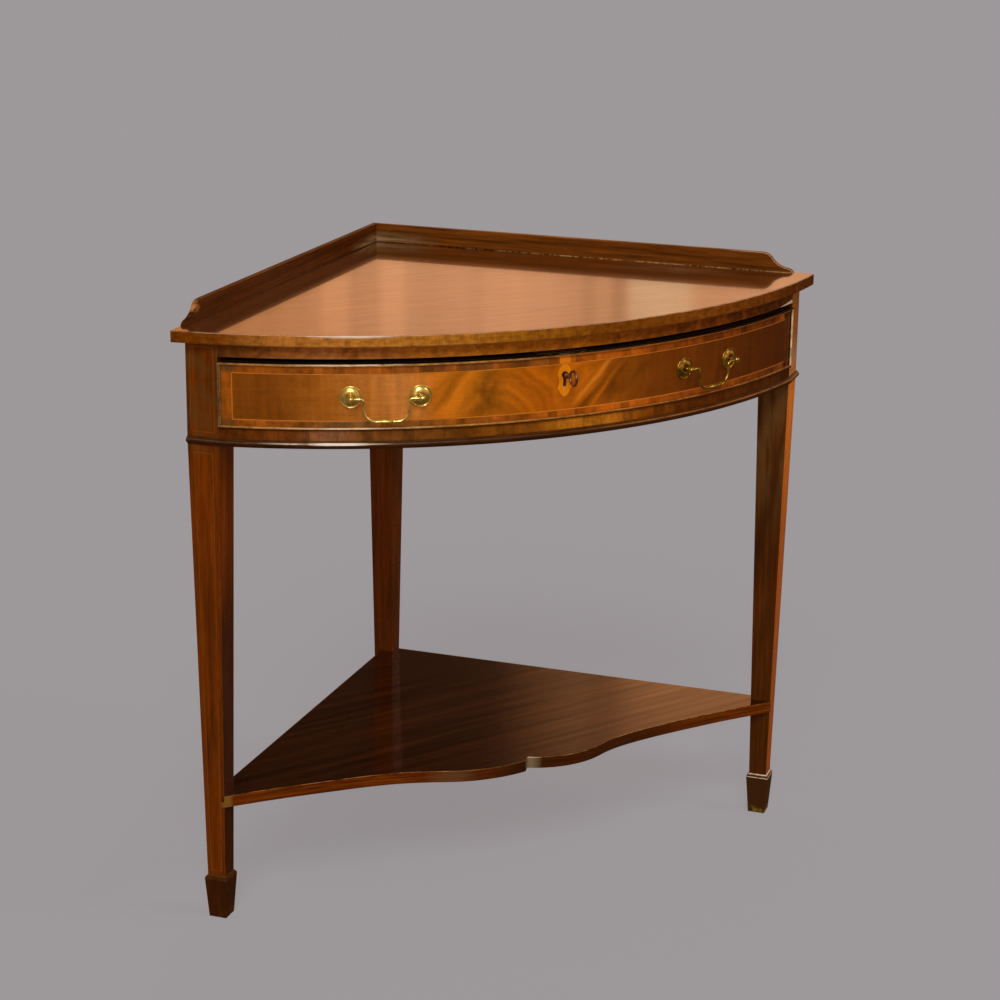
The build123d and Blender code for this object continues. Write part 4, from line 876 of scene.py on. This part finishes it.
dress(["drawer_side_left"], raw("oak_side_left", 0.1, LEFT_WALL, oak, 0.55)[0])
dress(["drawer_side_right"], raw("oak_side_right", 0.3, RIGHT_WALL, oak, 0.55)[0])
dress(["drawer_back", "drawer_bottom"], raw("oak_bottom", 0, ACROSS, oak, 0.55)[0])
dress(["drawer_slips"], raw("oak_slips", 0, FRONT_TO_BACK, oak, 0.55)[0])
pine_deep = raw("pine_deep", 0, FRONT_TO_BACK, pine, 0.6)[0]
dress(["runner_left", "runner_right", "kicker_left", "kicker_right"], pine_deep)
dress(["drawer_stops", "glue_blocks", "top_rail", "bottom_rail"], raw("pine_across", 0, ACROSS, pine, 0.6)[0])
material, tree, shader, place = raw("pine_drawer_front", 0.2, ACROSS, pine, 0.6)
# Painted shade: the core's top edge is black, as in the shade of the gap.
shaded_in_gap = spread(tree, axes(tree, place)[2], DRAWER_TOP - 0.0010, DRAWER_TOP - 0.0004, 0.0, 0.97)
repaint(tree, shader, shaded_in_gap, tone(20, 12, 6))
dress(["drawer_front"], material)

# %% [markdown]
# The handles are old brass, bright where hands and cloths reach and brown in the
# hollows, which the Ambient Occlusion node finds. The right handle is duller than
# the left. The key and the screws are iron. A coat of lacquer and dirt makes old
# brass less of a mirror, so the metal is not set to full Metallic.

# %% Metal


def metal(name, bright, dull, roughness, hollow, rubbed):
    """Worn metal, bright where it is rubbed and brown in its hollows."""
    material, tree, shader, place = start_material(name)
    soft, edge = arris(tree, 0.0006)
    tarnish = clouds(tree, place, 120.0, 4.0, 0.6)
    colour = shades(tree, tarnish, ((0.38, dull), (0.62, bright)))
    shade = add(tree, "AmbientOcclusion", {"samples": 6}, Distance=hollow).outputs["AO"]
    colour = blend(tree, spread(tree, shade, 0.45, 0.95), dull, colour)
    colour = blend(tree, calc(tree, "MULTIPLY", edge, 0.7), colour, rubbed)
    feed(tree, shader.inputs["Base Color"], colour)
    shader.inputs["Metallic"].default_value = 0.7
    feed(tree, shader.inputs["Roughness"], spread(tree, tarnish, 0.3, 0.7, roughness + 0.08, roughness - 0.04))
    feed(tree, shader.inputs["Normal"], soft)
    return material


brass = metal("brass", tone(246, 220, 128), tone(186, 154, 56), 0.27, 0.003, tone(255, 246, 196))
iron = metal("iron", tone(160, 112, 78), tone(84, 50, 32), 0.34, 0.004, tone(196, 150, 112))
dull_brass = metal("brass_dull", tone(196, 156, 52), tone(112, 82, 20), 0.2, 0.004, tone(226, 188, 96))
dress([n for n in nodes if "handle" in n or "bail" in n or n.startswith("lock")], brass)
dress([n for n in nodes if n.startswith("right_")], dull_brass)
dress(["lock_screws", "key"], iron)

# %% [markdown]
# The floor is a wide plain sheet, which the camera sees right to the top of the
# picture because it looks down. It hides from reflections, as a black cloth under
# the camera would do. It also glows a little, like a lit paper roll, so that shadows
# on it stay faint.

# %% Floor
bpy.ops.object.select_all(action="DESELECT")
bpy.ops.mesh.primitive_plane_add(size=60.0, location=(0, 0, 0))
floor = bpy.context.object
floor.name = "floor"
floor.visible_glossy = False
floor_paint, tree, shader, place = start_material("floor_paint")
shader.inputs["Base Color"].default_value = (0.108, 0.113, 0.125, 1.0)
shader.inputs["Emission Color"].default_value = tone(158, 153, 155)
shader.inputs["Emission Strength"].default_value = 0.8
shader.inputs["Roughness"].default_value = 0.9
shader.inputs["Specular IOR Level"].default_value = 0.0
floor.data.materials.append(floor_paint)
print("floor width in metres:", round(floor.dimensions.x))

# %% [markdown]
# Lamps near the floor would leave a bright patch on it, so two suns with soft edges
# light the table evenly: one from the camera's side, one warmer from the right. A
# card that only polish sees gives the brass and the beads their window highlight.

# %% Light


def from_side(azimuth, height):
    """Unit vector towards a light: degrees from the front to the right, and up."""
    turn, rise = math.radians(azimuth), math.radians(height)
    return Vector((math.sin(turn) * math.cos(rise), -math.cos(turn) * math.cos(rise), math.sin(rise)))


def hang(name, lamp, towards, distance, aim):
    """Put a light in the scene, facing its aim."""
    holder = bpy.data.objects.new(name, lamp)
    bpy.context.scene.collection.objects.link(holder)
    turned = towards.to_track_quat("Z", "Y").to_matrix().to_4x4()
    holder.matrix_world = Matrix.Translation(Vector(aim) + towards * distance) @ turned
    holder.visible_camera = False
    print(name, "shines from", tuple(round(v, 2) for v in towards))
    return holder


def sun(name, azimuth, height, power, spread_angle, colour=(1.0, 1.0, 1.0)):
    """Even light from one side, with soft shadows."""
    lamp = bpy.data.lights.new(name, "SUN")
    lamp.energy = power
    lamp.angle = math.radians(spread_angle)
    lamp.color = colour
    return hang(name, lamp, from_side(azimuth, height), 4.0, (0, 0, 0))


def card(name, azimuth, height, distance, aim, width, tall, power):
    """A lamp that only polish sees, for one highlight."""
    lamp = bpy.data.lights.new(name, "AREA")
    lamp.shape = "RECTANGLE"
    lamp.size = width
    lamp.size_y = tall
    lamp.energy = power
    holder = hang(name, lamp, from_side(azimuth, height), distance, aim)
    holder.visible_diffuse = False
    return holder


sun("sun_front", -28.0, 44.0, 1.15, 24.0)
sun("sun_right", 52.0, 34.0, 0.55, 20.0, (1.0, 0.84, 0.66))
card("window_card", -22.0, 30.0, 3.2, (-0.26, -0.23, 0.68), 0.5, 0.7, 64.0)

# %% [markdown]
# Polish is another matter. A polished top seen at a low angle is a mirror, and what
# it shows is the far side of the room, so the room is painted in the world: a warm
# glowing wall near the horizon for the top, above it a doorway for the shelf, dark
# on the left and lit on the right, a dim ceiling, and darkness below. The wall hangs
# in soft folds like a curtain, with a few brighter and darker strips and one cream
# panel, because a plain wall would make the top look like plastic. A photographer
# would hang cards for this.

# %% The room that the polish mirrors
LIT_WOOD = (1.0, 0.43, 0.17, 1.0)
CEILING = (0.20, 0.195, 0.20, 1.0)
DARK = (0.012, 0.008, 0.005, 1.0)
UNDER = (0.04, 0.026, 0.014, 1.0)
WALL_LEFT = (1.05, 0.40, 0.12, 1.0)
WALL_RIGHT = (1.10, 0.51, 0.24, 1.0)
CREAM = (1.22, 0.72, 0.38, 1.0)
STRIPS = (
    (21.8, 0.22, 1.26), (22.5, 0.25, 0.92), (23.18, 0.18, 1.24), (25.55, 0.15, 1.10),
    (26.05, 0.12, 1.14), (27.9, 0.06, 0.80), (28.62, 0.08, 0.62))

world = bpy.data.worlds.new("room")
bpy.context.scene.world = world
world.use_nodes = True
sky = world.node_tree
sky.nodes.clear()
across, away, rise = axes(sky, add(sky, "TexCoord").outputs["Generated"])
turn = calc(sky, "ARCTAN2", across, away)


def by_turn(low, high, start=0.0, end=1.0):
    """A mask over the room by the compass, in degrees."""
    return spread(sky, turn, math.radians(low), math.radians(high), start, end)


def by_strip(at, half, soft, inside=1.0, outside=0.0):
    """A value for an upright strip of the room, and one for the rest."""
    away_from_it = off_from(sky, turn, math.radians(at))
    return spread(sky, away_from_it, math.radians(half), math.radians(half + soft), inside, outside)


folds = clouds(sky, point(sky, calc(sky, "MULTIPLY", turn, 40.0)), 1.0, 3.0, 0.6)
glow = overlap(sky, spread(sky, folds, 0.3, 0.7, 0.82, 1.06), by_turn(17.5, 22.5, 0.85, 1.0))
for at, half, gain in STRIPS:
    glow = overlap(sky, glow, by_strip(at, half, 0.2, gain, 1.0))
wall = blend(sky, by_turn(17.5, 23.5), WALL_LEFT, WALL_RIGHT)
wall = scaled(sky, blend(sky, by_strip(29.6, 0.6, 0.3), wall, CREAM), glow)
doorway = overlap(sky, band(sky, rise, (0.25, 0.29), (0.54, 0.62)), by_turn(-25, -15), by_turn(60, 50))
lit = overlap(sky, by_turn(25.8, 30.0), by_strip(28.5, 0.2, 0.5, 0.55, 1.0))
room = blend(sky, doorway, CEILING, blend(sky, lit, DARK, LIT_WOOD))
room = blend(sky, spread(sky, rise, 0.29, 0.25), room, wall)
room = blend(sky, spread(sky, rise, -0.02, 0.02), UNDER, room)
background = add(sky, "Background", Color=room, Strength=1.0)
sky.links.new(background.outputs[0], add(sky, "OutputWorld").inputs["Surface"])
bpy.context.scene.view_settings.view_transform = "Standard"
print("strips in the mirrored wall:", len(STRIPS) + 1)
